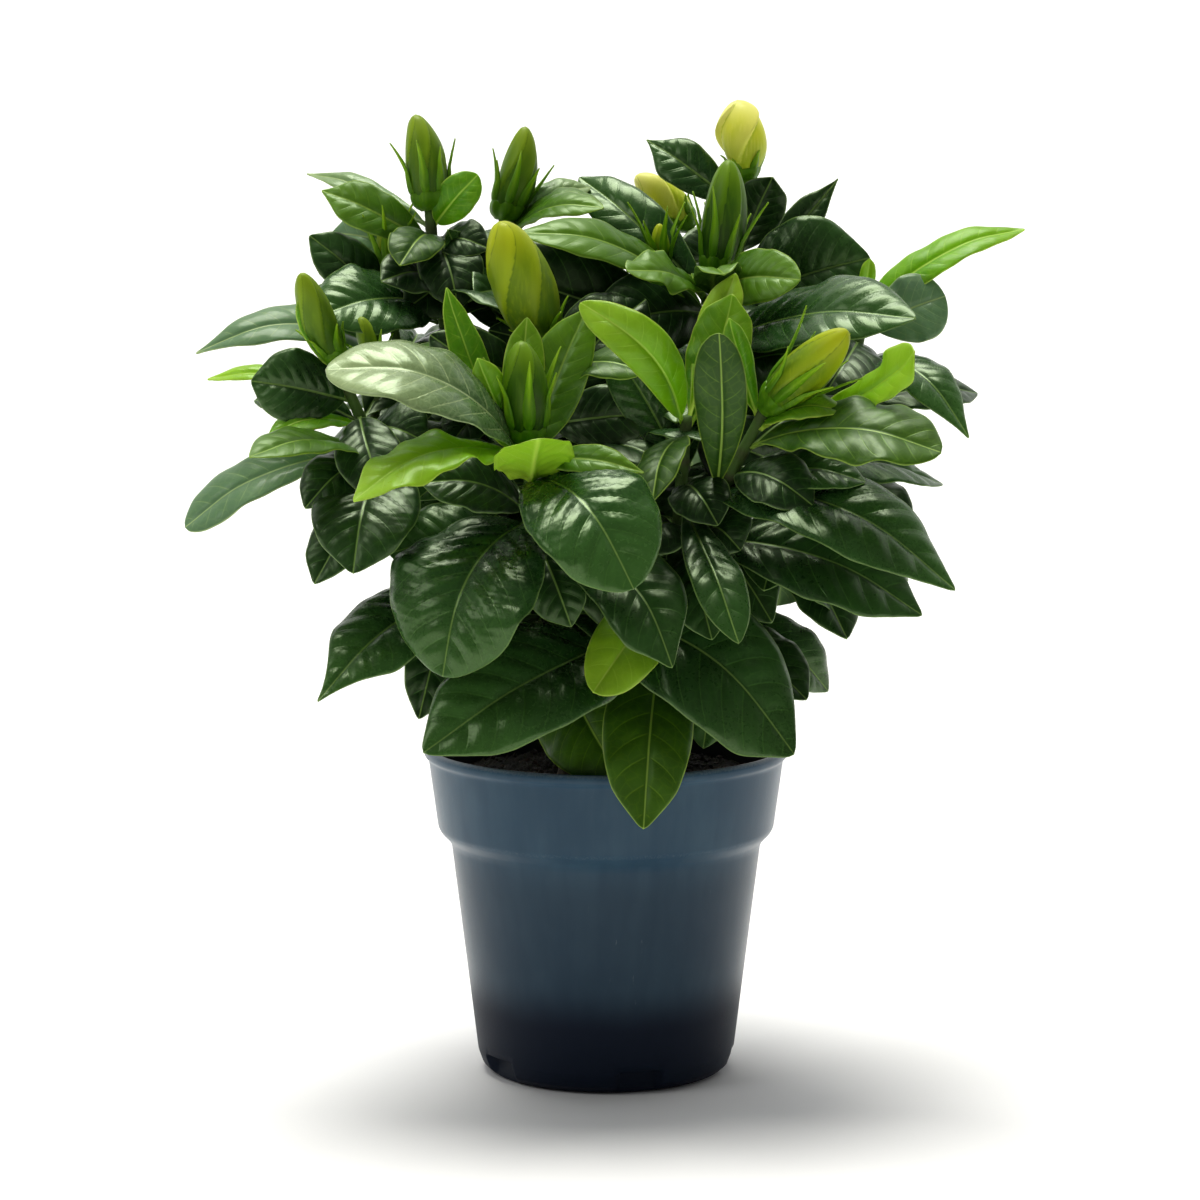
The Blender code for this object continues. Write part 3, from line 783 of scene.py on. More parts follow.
@dataclass(frozen=True)
class Leaf:
    """One leaf, by where it leaves its shoot, its tip and the way its upper side looks."""

    name: str
    shoot: str
    at: float
    tip: Point
    width: float
    arch: float
    faces: Point
    age: Age = Age.MATURE
    belly: float = 0.57      # where along the blade it is widest
    bow: float = 0.0         # sideways curve of the midrib, as a share of the length
    point: float = 0.30      # how strongly the tip is drawn out
    # tone is drawn by chance, or given per leaf as painted light and shade for how lit the leaf is
    tone: float = -1.0       # 0 dark to 1 light; below 0 it is drawn by chance
    fold: float = 11.0       # degrees each half blade rises from the midrib
    twist: float = 7.0       # degrees by which the tip may be turned about the midrib, at most
    wave: float = 1.0        # how wavy the margin is
    droop: float = 0.05      # how far the last part bends down, as a share of the length
    depth: float = 1.0       # depth of the quilting against the usual
    inset: float = 0.4       # mm that the stalk's foot lies under the shoot's skin
    stalk: float = 0.05      # share of the length that is bare stalk
    stalk_r: float = 0.75    # half the stalk's width, mm
    pads: float = 1.15       # height of the pads between veins on a leaf 40 mm wide, mm
    groove: float = 0.55     # depth of the midrib's groove, mm
    curl: float = 0.22       # how far the margin curls down, against the half width
    ripple: float = 0.055    # height of the margin's waves, against the half width
    thin: float = 0.34       # thickness of the blade, mm
    rib: float = 1.25        # how much thicker the midrib is at the stalk, mm
    rows: int = 100          # rings along the leaf
    half_cols: int = 10      # steps from the midrib to the margin

    def root(self) -> Array:
        """Where the stalk starts, a little inside the skin of its shoot.

        Returns:
            The point, mm.
        """
        shoot = SHOOTS[self.shoot]
        centre, along = shoot.at(self.at), shoot.along(self.at)
        toward = np.asarray(self.tip, float) - centre
        radial = unit(toward - along * float(toward @ along))
        return centre + radial * (float(shoot.radius(self.at)) - self.inset)

    def half_width(self, u: Array) -> Array:
        """Half the blade's width along the leaf, mm.

        A stalk of constant width for its share of the length, then (t / belly)^a times
        ((1 - t) / (1 - belly))^b with a / b = belly / (1 - belly), which is widest at the belly; b
        is lower, and the ends are rounder, on a leaf without a drawn-out point. The end is narrowed
        into that point.

        Args:
            u: places along the leaf, 0 at the foot of the stalk and 1 at the tip.

        Returns:
            Half the width at each place.
        """
        t = np.clip((u - self.stalk) / (1 - self.stalk), 0, 1)
        b = 0.54 if self.point < 0.2 else 0.66
        a = b * self.belly / (1 - self.belly)
        shape = (t / self.belly) ** a * ((1 - t) / (1 - self.belly)) ** b
        shape = shape * (1 - self.point * ease(0.84 - 0.3 * max(self.point - 0.3, 0), 0.99, t))
        return self.stalk_r + (self.width / 2 - self.stalk_r) * shape - 0.6 * ease(0.9, 1.0, u)

    def skin(self) -> Patch:
        """The leaf as rings that run over the blade and back under it.

        The midrib is the straight line root to tip lifted by 4 arch u(1-u). Across it the blade
        rises by the fold, its margin curls down with the square of the distance and waves with a
        sine along the leaf. Between the side veins, which leave the midrib at a slant and bend to
        the tip, the blade is raised into pads by a power of a sine; the veins and the midrib are
        grooves above and ridges below.

        Returns:
            The closed leaf with its distances, phase, side and tone.
        """
        rng = dice(self.name)
        even = np.linspace(0, 1, self.rows)
        u = 0.8 * even + 0.2 * (1 - np.cos(np.pi * even)) / 2
        s = np.linspace(-1, 1, 2 * self.half_cols + 1)
        v = np.sign(s) * np.abs(s) ** 1.25
        root, tip = self.root(), np.asarray(self.tip, float)
        chord = tip - root
        length = float(np.linalg.norm(chord))
        along = chord / length
        look = unit(self.faces)
        normal = unit(look - along * float(look @ along))
        across = np.cross(along, normal)
        uu, vv = u[:, None], v[None, :]
        lopsided = 1 + rng.uniform(-0.06, 0.06) * np.sign(vv)
        half = self.half_width(uu) * lopsided
        bow = (self.bow + rng.uniform(-0.035, 0.035)) * length
        dip = self.droop * length * ease(0.55, 1.0, uu) ** 2
        middle = (root + uu[..., None] * chord
                  + (4 * self.arch * uu * (1 - uu) - dip)[..., None] * normal
                  + (bow * np.sin(np.pi * uu))[..., None] * across)
        turn = np.radians(rng.uniform(-self.twist, self.twist)) * (uu - 0.35)
        side = spokes(turn, across, normal)
        tangent = unit(np.gradient(middle[:, 0], axis=0))[:, None]
        up = unit(np.cross(side, tangent))
        span = np.abs(vv)
        reach = span * half
        quilt = QUILT_OF[self.age] * self.depth * (0.55 if self.tone == 0 else 1.0)
        pairs = round(7.5 + length / 45)
        phase = pairs * (uu * 1.02 - 0.62 * reach / length
                         - 0.30 * span ** 3 * half / length) + 0.35
        pad = np.abs(np.sin(np.pi * phase)) ** 0.75
        body = (ease(0.03, 0.22, span) * (1 - 0.85 * span ** 2.5)
                * ease(0.08, 0.2, uu) * ease(1.0, 0.85, uu))
        size = self.width / 40
        raised = quilt * size * self.pads * (pad - 0.55) * body
        near_rib = np.exp(-reach ** 2)
        groove = -self.groove * near_rib * ease(0.02, 0.12, uu) * ease(1.0, 0.8, uu)
        knots = rng.uniform(0, 2 * np.pi, 4)
        ripple = (np.sin(2 * np.pi * 2.3 * uu + np.where(vv > 0, knots[0], knots[1]))
                  + 0.5 * np.sin(2 * np.pi * 5.1 * uu + np.where(vv > 0, knots[2], knots[3])))
        margin = (self.wave * self.ripple * half * ripple * span ** 2.2
                  * ease(0.05, 0.3, uu) * ease(1.0, 0.85, uu))
        rise = math.radians(self.fold)
        curl = self.curl * half * span ** 2.6 * ease(0.05, 0.3, uu)
        lift = reach * math.sin(rise) - curl + raised + groove + margin
        top = middle + (vv * half * math.cos(rise))[..., None] * side + lift[..., None] * up
        thick = (self.thin + self.rib * (1 - 0.75 * uu) * near_rib
                 + 0.22 * size * (1 - pad) ** 3 * body) * (1 - 0.45 * span ** 6)
        thick = np.minimum(thick, 0.6 + 1.2 * half)
        below = top - thick[..., None] * up
        grid = np.concatenate([top, below[:, ::-1]], axis=1)

        def both(x: Array) -> Array:
            """Repeats a value of the upper side on the lower side."""
            x = np.broadcast_to(x, top.shape[:2])
            return np.concatenate([x, x[:, ::-1]], axis=1)

        upper = np.concatenate([np.ones(top.shape[:2]), np.zeros(top.shape[:2])], axis=1)
        tone = self.tone if self.tone >= 0 else rng.uniform(0, 1)
        return closed_rings(grid, {
            "along": both(uu), "rib": both(reach), "edge": both((1 - span) * half),
            "phase": both(phase), "top": upper, "tone": both(np.full_like(reach, tone))})


LEAVES: tuple[Leaf, ...] = (
    # over the rim and low at the front
    Leaf("leaf_front_left_big", "front", 0.78, (-56, -92, 159), 56, 13, (-4, -10, 7), belly=0.55,
         point=0.15),
    Leaf("leaf_front_over_rim_left", "centre", 0.24, (-61, -88, 134), 46, 13, (-2, -10, 7),
         tone=1.0),
    Leaf("leaf_front_over_rim", "centre", 0.20, (13, -84, 106), 32, 9, (0, -10, 4), Age.MIDDLE,
         tone=0.3),
    Leaf("leaf_front_young", "centre", 0.36, (-3, -80, 152), 25, 8, (0, -10, 3), Age.YOUNG,
         belly=0.62, point=0, tone=0.7),
    Leaf("leaf_front_left_low", "left", 0.34, (-97, -90, 152), 33, 9, (-3, -10, 6), belly=0.50,
         point=0.75, tone=1.0),
    Leaf("leaf_front_round", "front", 0.90, (9, -104, 191), 46, 14, (1, -10, 9), belly=0.60,
         point=0.1, tone=1.0),
    # front shoot
    Leaf("leaf_front_silver", "front", 0.95, (-93, -75, 262), 37, 16, (1, -6, 10), Age.SILVER,
         belly=0.62, point=0, tone=1.0),
    Leaf("leaf_front_light", "front", 0.96, (-84, -100, 221), 27, 10, (-1, -5, 10), Age.YOUNG,
         tone=1.0, wave=2.5),
    Leaf("leaf_front_up_left", "front", 0.95, (-53, -50, 286), 15, -5, (6, -10, 3), Age.YOUNG,
         belly=0.45, tone=0.15),
    Leaf("leaf_front_up_right", "front", 0.97, (-7, -43, 278), 22, -4, (-1, -10, 2), Age.MIDDLE,
         belly=0.5, tone=1.0),
    # centre shoot
    Leaf("leaf_centre_lime", "centre", 0.98, (-8, -52, 280), 18, 10, (-3, -10, 6), Age.YOUNG,
         bow=0.12, tone=0.8, point=0.1),
    Leaf("leaf_centre_up", "centre", 0.97, (43, -30, 282), 24, -5, (-4, -10, 3), Age.YOUNG,
         tone=0.35, belly=0.6),
    Leaf("leaf_centre_low_right", "front", 0.42, (64, -80, 131), 46, 8, (2, -10, 6), belly=0.60,
         bow=-0.13, tone=0.6),
    Leaf("leaf_centre_narrow", "centre", 0.74, (45, -96, 172), 19, 7, (2, -9, 7), belly=0.66,
         point=0.2, tone=0.6),
    Leaf("leaf_centre_small", "front", 0.66, (22, -94, 163), 32, 7, (1, -9, 7), belly=0.62,
         point=0.5, bow=-0.16, tone=0.5),
    Leaf("leaf_right_long", "centre", 0.78, (118, -86, 190), 38, 14, (1, -7, 10), belly=0.56,
         point=0.5, tone=0.8),
    Leaf("leaf_right_under", "centre", 0.62, (109, -58, 176), 38, 8, (1, -8, 8), belly=0.60,
         point=0.5, tone=0.5),
    # right shoot
    Leaf("leaf_right_upright", "right", 0.70, (38, -72, 270), 19, 3, (-1, -10, 1), Age.MIDDLE,
         belly=0.66, point=0, tone=0.0),
    Leaf("leaf_right_lime_rim", "right", 0.88, (112, -84, 235), 34, 9, (0, -7, 9), Age.MIDDLE,
         belly=0.66, point=0.1, wave=2.0),
    Leaf("leaf_right_dark", "right", 0.80, (118, -34, 219), 28, 6, (0, -4, 10)),
    Leaf("leaf_right_low", "far_right", 0.12, (70, -42, 143), 28, 6, (3, -9, 6)),
    # far right shoot
    Leaf("leaf_far_right_light", "far_right", 0.97, (150, 30, 303), 17, 5, (-3, -8, 10), Age.YOUNG,
         belly=0.42, tone=0.5),
    Leaf("leaf_far_right_grey", "far_right", 0.93, (121, 14, 278), 26, 3, (2, -10, 4), Age.PALE,
         belly=0.64, point=0, tone=0.0),
    Leaf("leaf_far_right_hanging", "far_right", 0.86, (127, -28, 234), 23, 12, (2, -6, 9),
         belly=0.45, point=0.6, tone=1.0, depth=0.5),
    # rear right shoots
    Leaf("leaf_rear_right_glossy", "rear_right", 0.84, (104, -46, 278), 36, 9, (0, -8, 8)),
    Leaf("leaf_rear_right_round", "rear_high", 0.76, (95, 40, 290), 42, 6, (1, -10, 3)),
    Leaf("leaf_rear_right_lit", "rear_right", 0.97, (66, -20, 287), 24, 5, (0, -9, 4), Age.MIDDLE,
         belly=0.5, tone=1.0, point=0.1),
    Leaf("leaf_rear_right_across", "rear_right", 0.92, (-29, -2, 304), 24, 8, (-1, -6, 9),
         Age.MIDDLE, tone=1.0),
    Leaf("leaf_high_left", "rear_right", 0.95, (-10, 50, 320), 22, 6, (-2, -9, 7), tone=1.0,
         depth=0.6),
    # left shoots
    Leaf("leaf_left_round", "left", 0.74, (-86, -80, 193), 38, 9, (-1, -9, 8)),
    Leaf("leaf_left_grey", "left", 0.80, (-147, -42, 204), 22, 6, (-2, -7, 9), Age.PALE, belly=0.68,
         point=0, tone=0.0),
    Leaf("leaf_left_block", "left", 0.92, (-122, -44, 253), 27, 4, (1, -10, 3)),
    Leaf("leaf_left_light_tip", "left", 0.78, (-119, -84, 234), 22, 5, (-1, -6, 9), Age.MIDDLE),
    Leaf("leaf_mid_left_drooping", "mid_left", 0.84, (-144, -6, 262), 22, 12, (-2, -7, 9), Age.PALE,
         belly=0.45, point=0.6, tone=0.0),
    Leaf("leaf_mid_left_dark", "mid_left", 0.92, (-104, 6, 300), 22, 4, (2, -9, 5)),
    Leaf("leaf_rear_left_glossy", "rear_left", 0.82, (-101, -20, 275), 36, 7, (0, -8, 8)),
    Leaf("leaf_rear_centre_right", "rear_centre", 0.97, (-2, 26, 311), 18, 5, (-1, -6, 10),
         Age.MIDDLE),
    # back of the plant
    Leaf("leaf_back_low_left", "back", 0.34, (-58, 96, 138), 42, 10, (-3, 8, 8)),
    Leaf("leaf_back_low_right", "back", 0.40, (34, 104, 144), 42, 10, (2, 9, 7)),
    Leaf("leaf_back_middle", "back", 0.62, (-6, 124, 178), 46, 10, (0, 8, 9)),
    Leaf("leaf_back_left", "back", 0.82, (-86, 96, 214), 36, 9, (-2, 5, 10)),
    Leaf("leaf_back_right", "back", 0.86, (66, 106, 232), 34, 9, (2, 6, 10)),
    Leaf("leaf_back_top", "back", 0.99, (-30, 112, 292), 24, 6, (0, -5, 10), Age.YOUNG),
)

# leaves of the same shoots that the imported part leaves out, last the leaves that cover the
# inside, made dark by tone 0 as painted shade
EXTRAS: tuple[Leaf, ...] = (
    Leaf("rim_pale", "front", 0.05, (3, -60, 119), 36, 6, (-3, -10, 4), Age.MIDDLE, belly=0.55,
         point=0.1, tone=0.3),
    Leaf("left_hanging_narrow", "left", 0.42, (-64, -58, 138), 21, 6, (3, -10, 5)),
    Leaf("left_behind_block", "left", 0.78, (-103, -60, 212), 22, 6, (-2, -9, 6)),
    Leaf("left_below_round", "left", 0.70, (-100, -66, 187), 22, 6, (-2, -9, 6)),
    Leaf("left_thin_lime", "left", 0.93, (-139, -27, 254), 10, 4, (0, -5, 10), Age.YOUNG, tone=1.0),
    Leaf("left_top_lime", "left", 0.97, (-104, -46, 283), 13, -3, (3, -10, 2), Age.YOUNG),
    Leaf("front_forward_lime", "front", 0.90, (-23, -87, 239), 28, -3, (0, -4, 10), Age.YOUNG,
         belly=0.66, point=0, tone=0.8, wave=2.0),
    Leaf("front_behind_lime", "front", 0.97, (-27, -43, 275), 15, -3, (1, -10, 2), Age.YOUNG),
    Leaf("front_small_lime", "front", 0.98, (-43, -64, 262), 13, -2, (2, -10, 3), Age.YOUNG),
    Leaf("front_thin_right", "front", 0.95, (12, -78, 226), 12, 5, (1, -9, 6), Age.MIDDLE,
         point=0.7),
    Leaf("front_silver_low", "front", 0.80, (-62, -66, 221), 26, 6, (-1, -8, 8)),
    Leaf("front_low_shadow", "front", 0.66, (-74, -60, 196), 30, 7, (-2, -9, 7)),
    Leaf("centre_yellow", "centre", 0.99, (45, -20, 289), 14, -3, (-2, -10, 1), Age.YOUNG,
         belly=0.7, tone=1.0),
    Leaf("centre_forward", "centre", 0.94, (15, -78, 217), 18, 6, (-5, -9, 6), Age.MIDDLE),
    Leaf("centre_inner_dark", "centre", 0.86, (2, -30, 263), 19, -3, (1, -10, 1)),
    Leaf("centre_inner_back", "centre", 0.80, (24, -14, 262), 22, -3, (-1, -10, 2)),
    Leaf("right_narrow_lime", "right", 0.97, (43, -56, 275), 10, -3, (4, -10, 1), Age.YOUNG),
    Leaf("right_curled_lime", "right", 0.97, (102, -78, 267), 18, -12, (-1, -8, 6), Age.YOUNG,
         tone=1.0, point=0, belly=0.78, wave=3.5),
    Leaf("right_under_bud", "right", 0.94, (80, -66, 246), 15, 4, (0, -6, 10), Age.YOUNG, tone=0.4),
    Leaf("right_inner_green", "right", 0.72, (88, -64, 222), 24, 6, (0, -6, 10)),
    Leaf("high_thin", "rear_high", 0.80, (85, 66, 318), 13, -3, (-3, -10, 2), point=0.8),
    Leaf("high_inner_dark", "rear_high", 0.86, (60, 48, 318), 20, -3, (-2, -10, 1), tone=0.0),
    Leaf("high_grey", "rear_high", 0.95, (15, 68, 332), 19, 4, (-2, -9, 6), point=0.8, belly=0.6),
    Leaf("rear_right_collar", "rear_right", 0.94, (9, -18, 291), 21, 5, (-1, -7, 7), Age.MIDDLE,
         wave=4.0, point=0, tone=1.0),
    Leaf("rear_right_cup", "rear_right", 0.95, (41, -20, 290), 18, 5, (0, -7, 7), Age.MIDDLE,
         wave=4.0, tone=1.0),
    Leaf("rear_left_pale", "rear_left", 0.97, (-109, 50, 322), 11, 3, (-1, -6, 9), Age.PALE,
         tone=1.0, point=0.8),
    Leaf("rear_left_rim", "rear_left", 0.94, (-101, 18, 316), 19, 5, (-1, -8, 6), Age.MIDDLE,
         point=0.6),
    Leaf("rear_left_grey", "rear_left", 0.92, (-99, 30, 300), 22, 5, (-1, -10, 3), Age.PALE,
         tone=0.0),
    Leaf("rear_left_inner", "rear_left", 0.97, (-46, 12, 321), 15, 3, (1, -10, 5), Age.YOUNG,
         tone=0.2, point=0.1),
    Leaf("rear_left_lime", "rear_left", 0.93, (-42, 4, 296), 17, 5, (-1, -8, 7), tone=0.0),
    Leaf("rear_centre_pale", "rear_centre", 0.98, (-6, 44, 316), 14, 4, (0, -7, 8), Age.PALE,
         tone=1.0),
    Leaf("rear_centre_low", "rear_centre", 0.96, (-2, 14, 311), 16, 6, (0, -6, 9), Age.MIDDLE,
         tone=1.0),
    Leaf("rear_centre_dark", "rear_centre", 0.90, (-70, -4, 276), 30, 6, (0, -10, 5), tone=0.0),
    Leaf("rear_centre_curl", "rear_centre", 0.72, (-54, 2, 301), 18, -4, (3, -10, 2), wave=3.0),
    Leaf("rear_left_cover", "rear_left", 0.95, (-52, -8, 276), 24, 5, (1, -10, 4), tone=0.0),
    Leaf("rear_left_under", "rear_left", 0.86, (-78, -10, 286), 22, 5, (-1, -9, 6), tone=0.0),
    Leaf("left_cover", "left", 0.88, (-76, -60, 214), 24, 6, (0, -10, 5), tone=0.0),
    Leaf("left_inner_dark", "left", 0.84, (-62, -46, 232), 24, 6, (0, -9, 6), tone=0.0),
    Leaf("left_lit_blade", "left", 0.86, (-116, -52, 236), 14, 4, (-1, -6, 10), Age.YOUNG,
         tone=0.3),
    Leaf("centre_cover", "centre", 0.80, (38, -62, 206), 22, 6, (0, -10, 6), tone=0.0),
    Leaf("centre_hanging", "centre", 0.30, (-14, -54, 156), 30, 6, (-3, -10, 5), tone=0.3),
    Leaf("front_inner_hanging", "front", 0.42, (-30, -58, 146), 28, 6, (0, -10, 5), tone=0.0),
    Leaf("right_inner_hanging", "right", 0.55, (46, -56, 196), 26, 6, (1, -10, 6), tone=0.0),
    Leaf("centre_inner_low", "centre", 0.66, (12, -58, 196), 26, 6, (-1, -10, 6), tone=0.0),
    Leaf("rear_wide_dark", "rear_right", 0.86, (-52, 2, 292), 34, 8, (0, -10, 3), tone=0.0),
    Leaf("rear_wide_low", "rear_right", 0.70, (-40, -6, 268), 32, 6, (0, -10, 4), tone=0.0),
    Leaf("rear_low_right", "rear_right", 0.80, (84, -10, 252), 32, 6, (0, -10, 4), tone=0.0),
    Leaf("rear_high_cover", "rear_high", 0.84, (26, 30, 288), 26, 5, (0, -10, 3), tone=0.0),
    Leaf("rear_centre_right_low", "rear_centre", 0.90, (-8, 16, 292), 26, 5, (0, -10, 3), tone=0.0),
    Leaf("far_right_cover", "far_right", 0.90, (76, -24, 246), 28, 6, (0, -10, 5), tone=0.0),
    Leaf("gap_rear_right", "rear_right", 0.92, (-4, -14, 268), 32, 6, (0, -10, 4), tone=0.0),
    Leaf("front_stem_cover", "front", 0.72, (-12, -72, 172), 22, 5, (0, -10, 4), tone=0.3),
    Leaf("centre_stem_cover", "centre", 0.64, (36, -70, 168), 24, 5, (0, -10, 4), tone=0.3),
    Leaf("gap_big", "big", 0.72, (16, -30, 240), 24, 5, (0, -10, 3), tone=0.0),
    Leaf("gap_right", "far_right", 0.60, (38, -34, 232), 28, 5, (0, -10, 4), tone=0.0),
    Leaf("rear_left_front", "rear_left", 0.95, (-72, -12, 292), 20, 5, (-1, -10, 4), Age.MIDDLE,
         tone=0.0),
    Leaf("rear_centre_front", "rear_centre", 0.97, (-36, 6, 290), 18, 5, (1, -10, 4), Age.MIDDLE,
         tone=0.0),
    Leaf("right_cover", "right", 0.78, (70, -72, 214), 24, 7, (1, -9, 7), tone=0.0),
    Leaf("far_right_bud_leaf", "far_right", 0.985, (94, 12, 291), 6, 2, (0, -10, 3), Age.YOUNG,
         tone=1.0),
    Leaf("gap_right_low", "rear_right", 0.62, (72, -28, 208), 32, 5, (0, -10, 4), tone=0.0),
    Leaf("middle_dark_one", "big", 0.80, (14, -6, 279), 30, 5, (0, -10, 5), tone=0.0),
    Leaf("middle_dark_two", "big", 0.72, (-60, -34, 268), 30, 6, (0, -10, 5), tone=0.0),
    Leaf("middle_dark_three", "rear_right", 0.74, (74, -30, 262), 34, 6, (0, -10, 6)),
    Leaf("middle_dark_four", "rear_centre", 0.76, (-44, -10, 282), 32, 6, (0, -10, 5)),
)


@dataclass(frozen=True)
class Whorls:
    """Rings of three leaves that fill a shoot between its listed leaves."""

    first: float                    # place of the lowest ring
    last: float                     # place of the highest one
    count: int                      # number of rings
    turn: float                     # azimuth of the first leaf, degrees from +X toward +Y
    free: tuple[float, float]       # azimuths, degrees, between which no leaf is set
    size: float = 1.0               # length against the usual
    crown: bool = False             # whether young leaves close the top


WHORLS: dict[str, Whorls] = {
    "front": Whorls(0.30, 0.82, 4, 80, (185, 355), 0.8),
    "big": Whorls(0.20, 0.90, 6, 20, (250, 290), 0.95),
    "left": Whorls(0.30, 0.86, 5, 60, (175, 330), 0.8),
    "centre": Whorls(0.30, 0.86, 4, 40, (185, 355), 0.8),
    "right": Whorls(0.25, 0.86, 4, 70, (185, 355), 0.85),
    "far_right": Whorls(0.22, 0.74, 5, 10, (0, 0), 0.85),
    "rear_right": Whorls(0.25, 0.74, 5, 30, (0, 0), 1.0),
    "rear_high": Whorls(0.25, 0.74, 6, 80, (0, 0), 0.95),
    "rear_left": Whorls(0.25, 0.78, 6, 15, (0, 0), 0.9),
    "rear_centre": Whorls(0.25, 0.80, 6, 50, (0, 0), 0.9),
    "mid_left": Whorls(0.35, 0.84, 5, 75, (195, 235), 0.7),
    "back": Whorls(0.15, 0.94, 7, 35, (0, 0), 0.95, True),
}


@dataclass
class Foliage:
    """All leaves: the listed ones, and rings of fillers grouped by the shoot that carries them."""

    ring_turn: float = 60.0       # degrees from one ring to the next
    slope: float = -38.0          # degrees over level of the lowest fillers
    steeper: float = 62.0         # degrees by which the highest point up more
    length: float = 66.0          # of the lowest fillers, mm
    shorter: float = 14.0         # mm by which the highest are shorter
    width: float = 0.47           # against the length
    young_length: float = 34.0    # of the leaves that close a shoot, mm
    young_width: float = 0.36     # against the length
    crown: tuple[float, ...] = (0.975, 0.995)    # places of the rings that close a shoot

    def fillers(self, shoot: str, plan: Whorls) -> list[Leaf]:
        """Leaves in rings of three, each ring turned by a sixth of a turn from the one below.

        Low leaves are long and hang down, higher ones are shorter and rise; each is tipped a
        little toward the open side of the plant.

        Args:
            shoot: the shoot that carries them.
            plan: its rings.

        Returns:
            The leaves.
        """
        made = []
        rng = dice(shoot + "fill")
        stem = SHOOTS[shoot]
        rings = [(at, False) for at in np.linspace(plan.first, plan.last, plan.count)]
        rings += [(at, True) for at in self.crown] if plan.crown else []
        for (ring, (at, young)), k in product(enumerate(rings), range(3)):
            azimuth = (plan.turn + self.ring_turn * ring + 120 * k + rng.uniform(-14, 14)) % 360
            at_k = min(at + rng.uniform(-0.02, 0.02), 0.99)
            share = (at_k - plan.first) / (1 - plan.first)
            if young:
                rise, length, wide = rng.uniform(30, 60), self.young_length, self.young_width
            else:
                rise = self.slope + self.steeper * share + rng.uniform(-9, 9)
                length, wide = self.length - self.shorter * share, self.width
            length = length * plan.size * rng.uniform(0.88, 1.1)
            width = length * wide * rng.uniform(0.92, 1.08)
            if plan.free[0] < azimuth < plan.free[1]:
                continue
            a, r = math.radians(azimuth), math.radians(rise)
            way = np.array((math.cos(a) * math.cos(r), math.sin(a) * math.cos(r), math.sin(r)))
            tip = stem.at(at_k) + way * length
            open_side = -0.5 if tip[1] < 50 else 0.35
            faces = (rng.normal(0, 0.22), open_side + rng.normal(0, 0.22), 1.0)
            age = Age.YOUNG if young else Age.MIDDLE if share > 0.85 else Age.MATURE
            arch = -0.05 * length if rise > 25 else 0.13 * length
            made.append(Leaf(f"{shoot}_filler_{ring}_{k}", shoot, at_k, tuple(tip), width, arch,
                             faces, age, belly=rng.uniform(0.52, 0.60),
                             tone=rng.uniform(0.05, 0.75), wave=1.3, depth=0.6, rows=56,
                             half_cols=8))
        return made

    def build(self) -> None:
        """Makes every leaf piece."""
        finish = {age: (skin.material(), skin.slot) for age, skin in FINISH_OF.items()}
        for leaf in LEAVES:
            place(leaf.name + "_blade", leaf.skin(), *finish[leaf.age], (leaf.name,))
        for leaf in EXTRAS:
            place(leaf.name + "_leaf", leaf.skin(), *finish[leaf.age])
        for shoot, plan in WHORLS.items():
            leaves = self.fillers(shoot, plan)
            for age in Age:
                group = [leaf.skin() for leaf in leaves if leaf.age is age]
                if group:
                    place(f"{shoot}_{age.value}_leaves", joined(group), *finish[age])


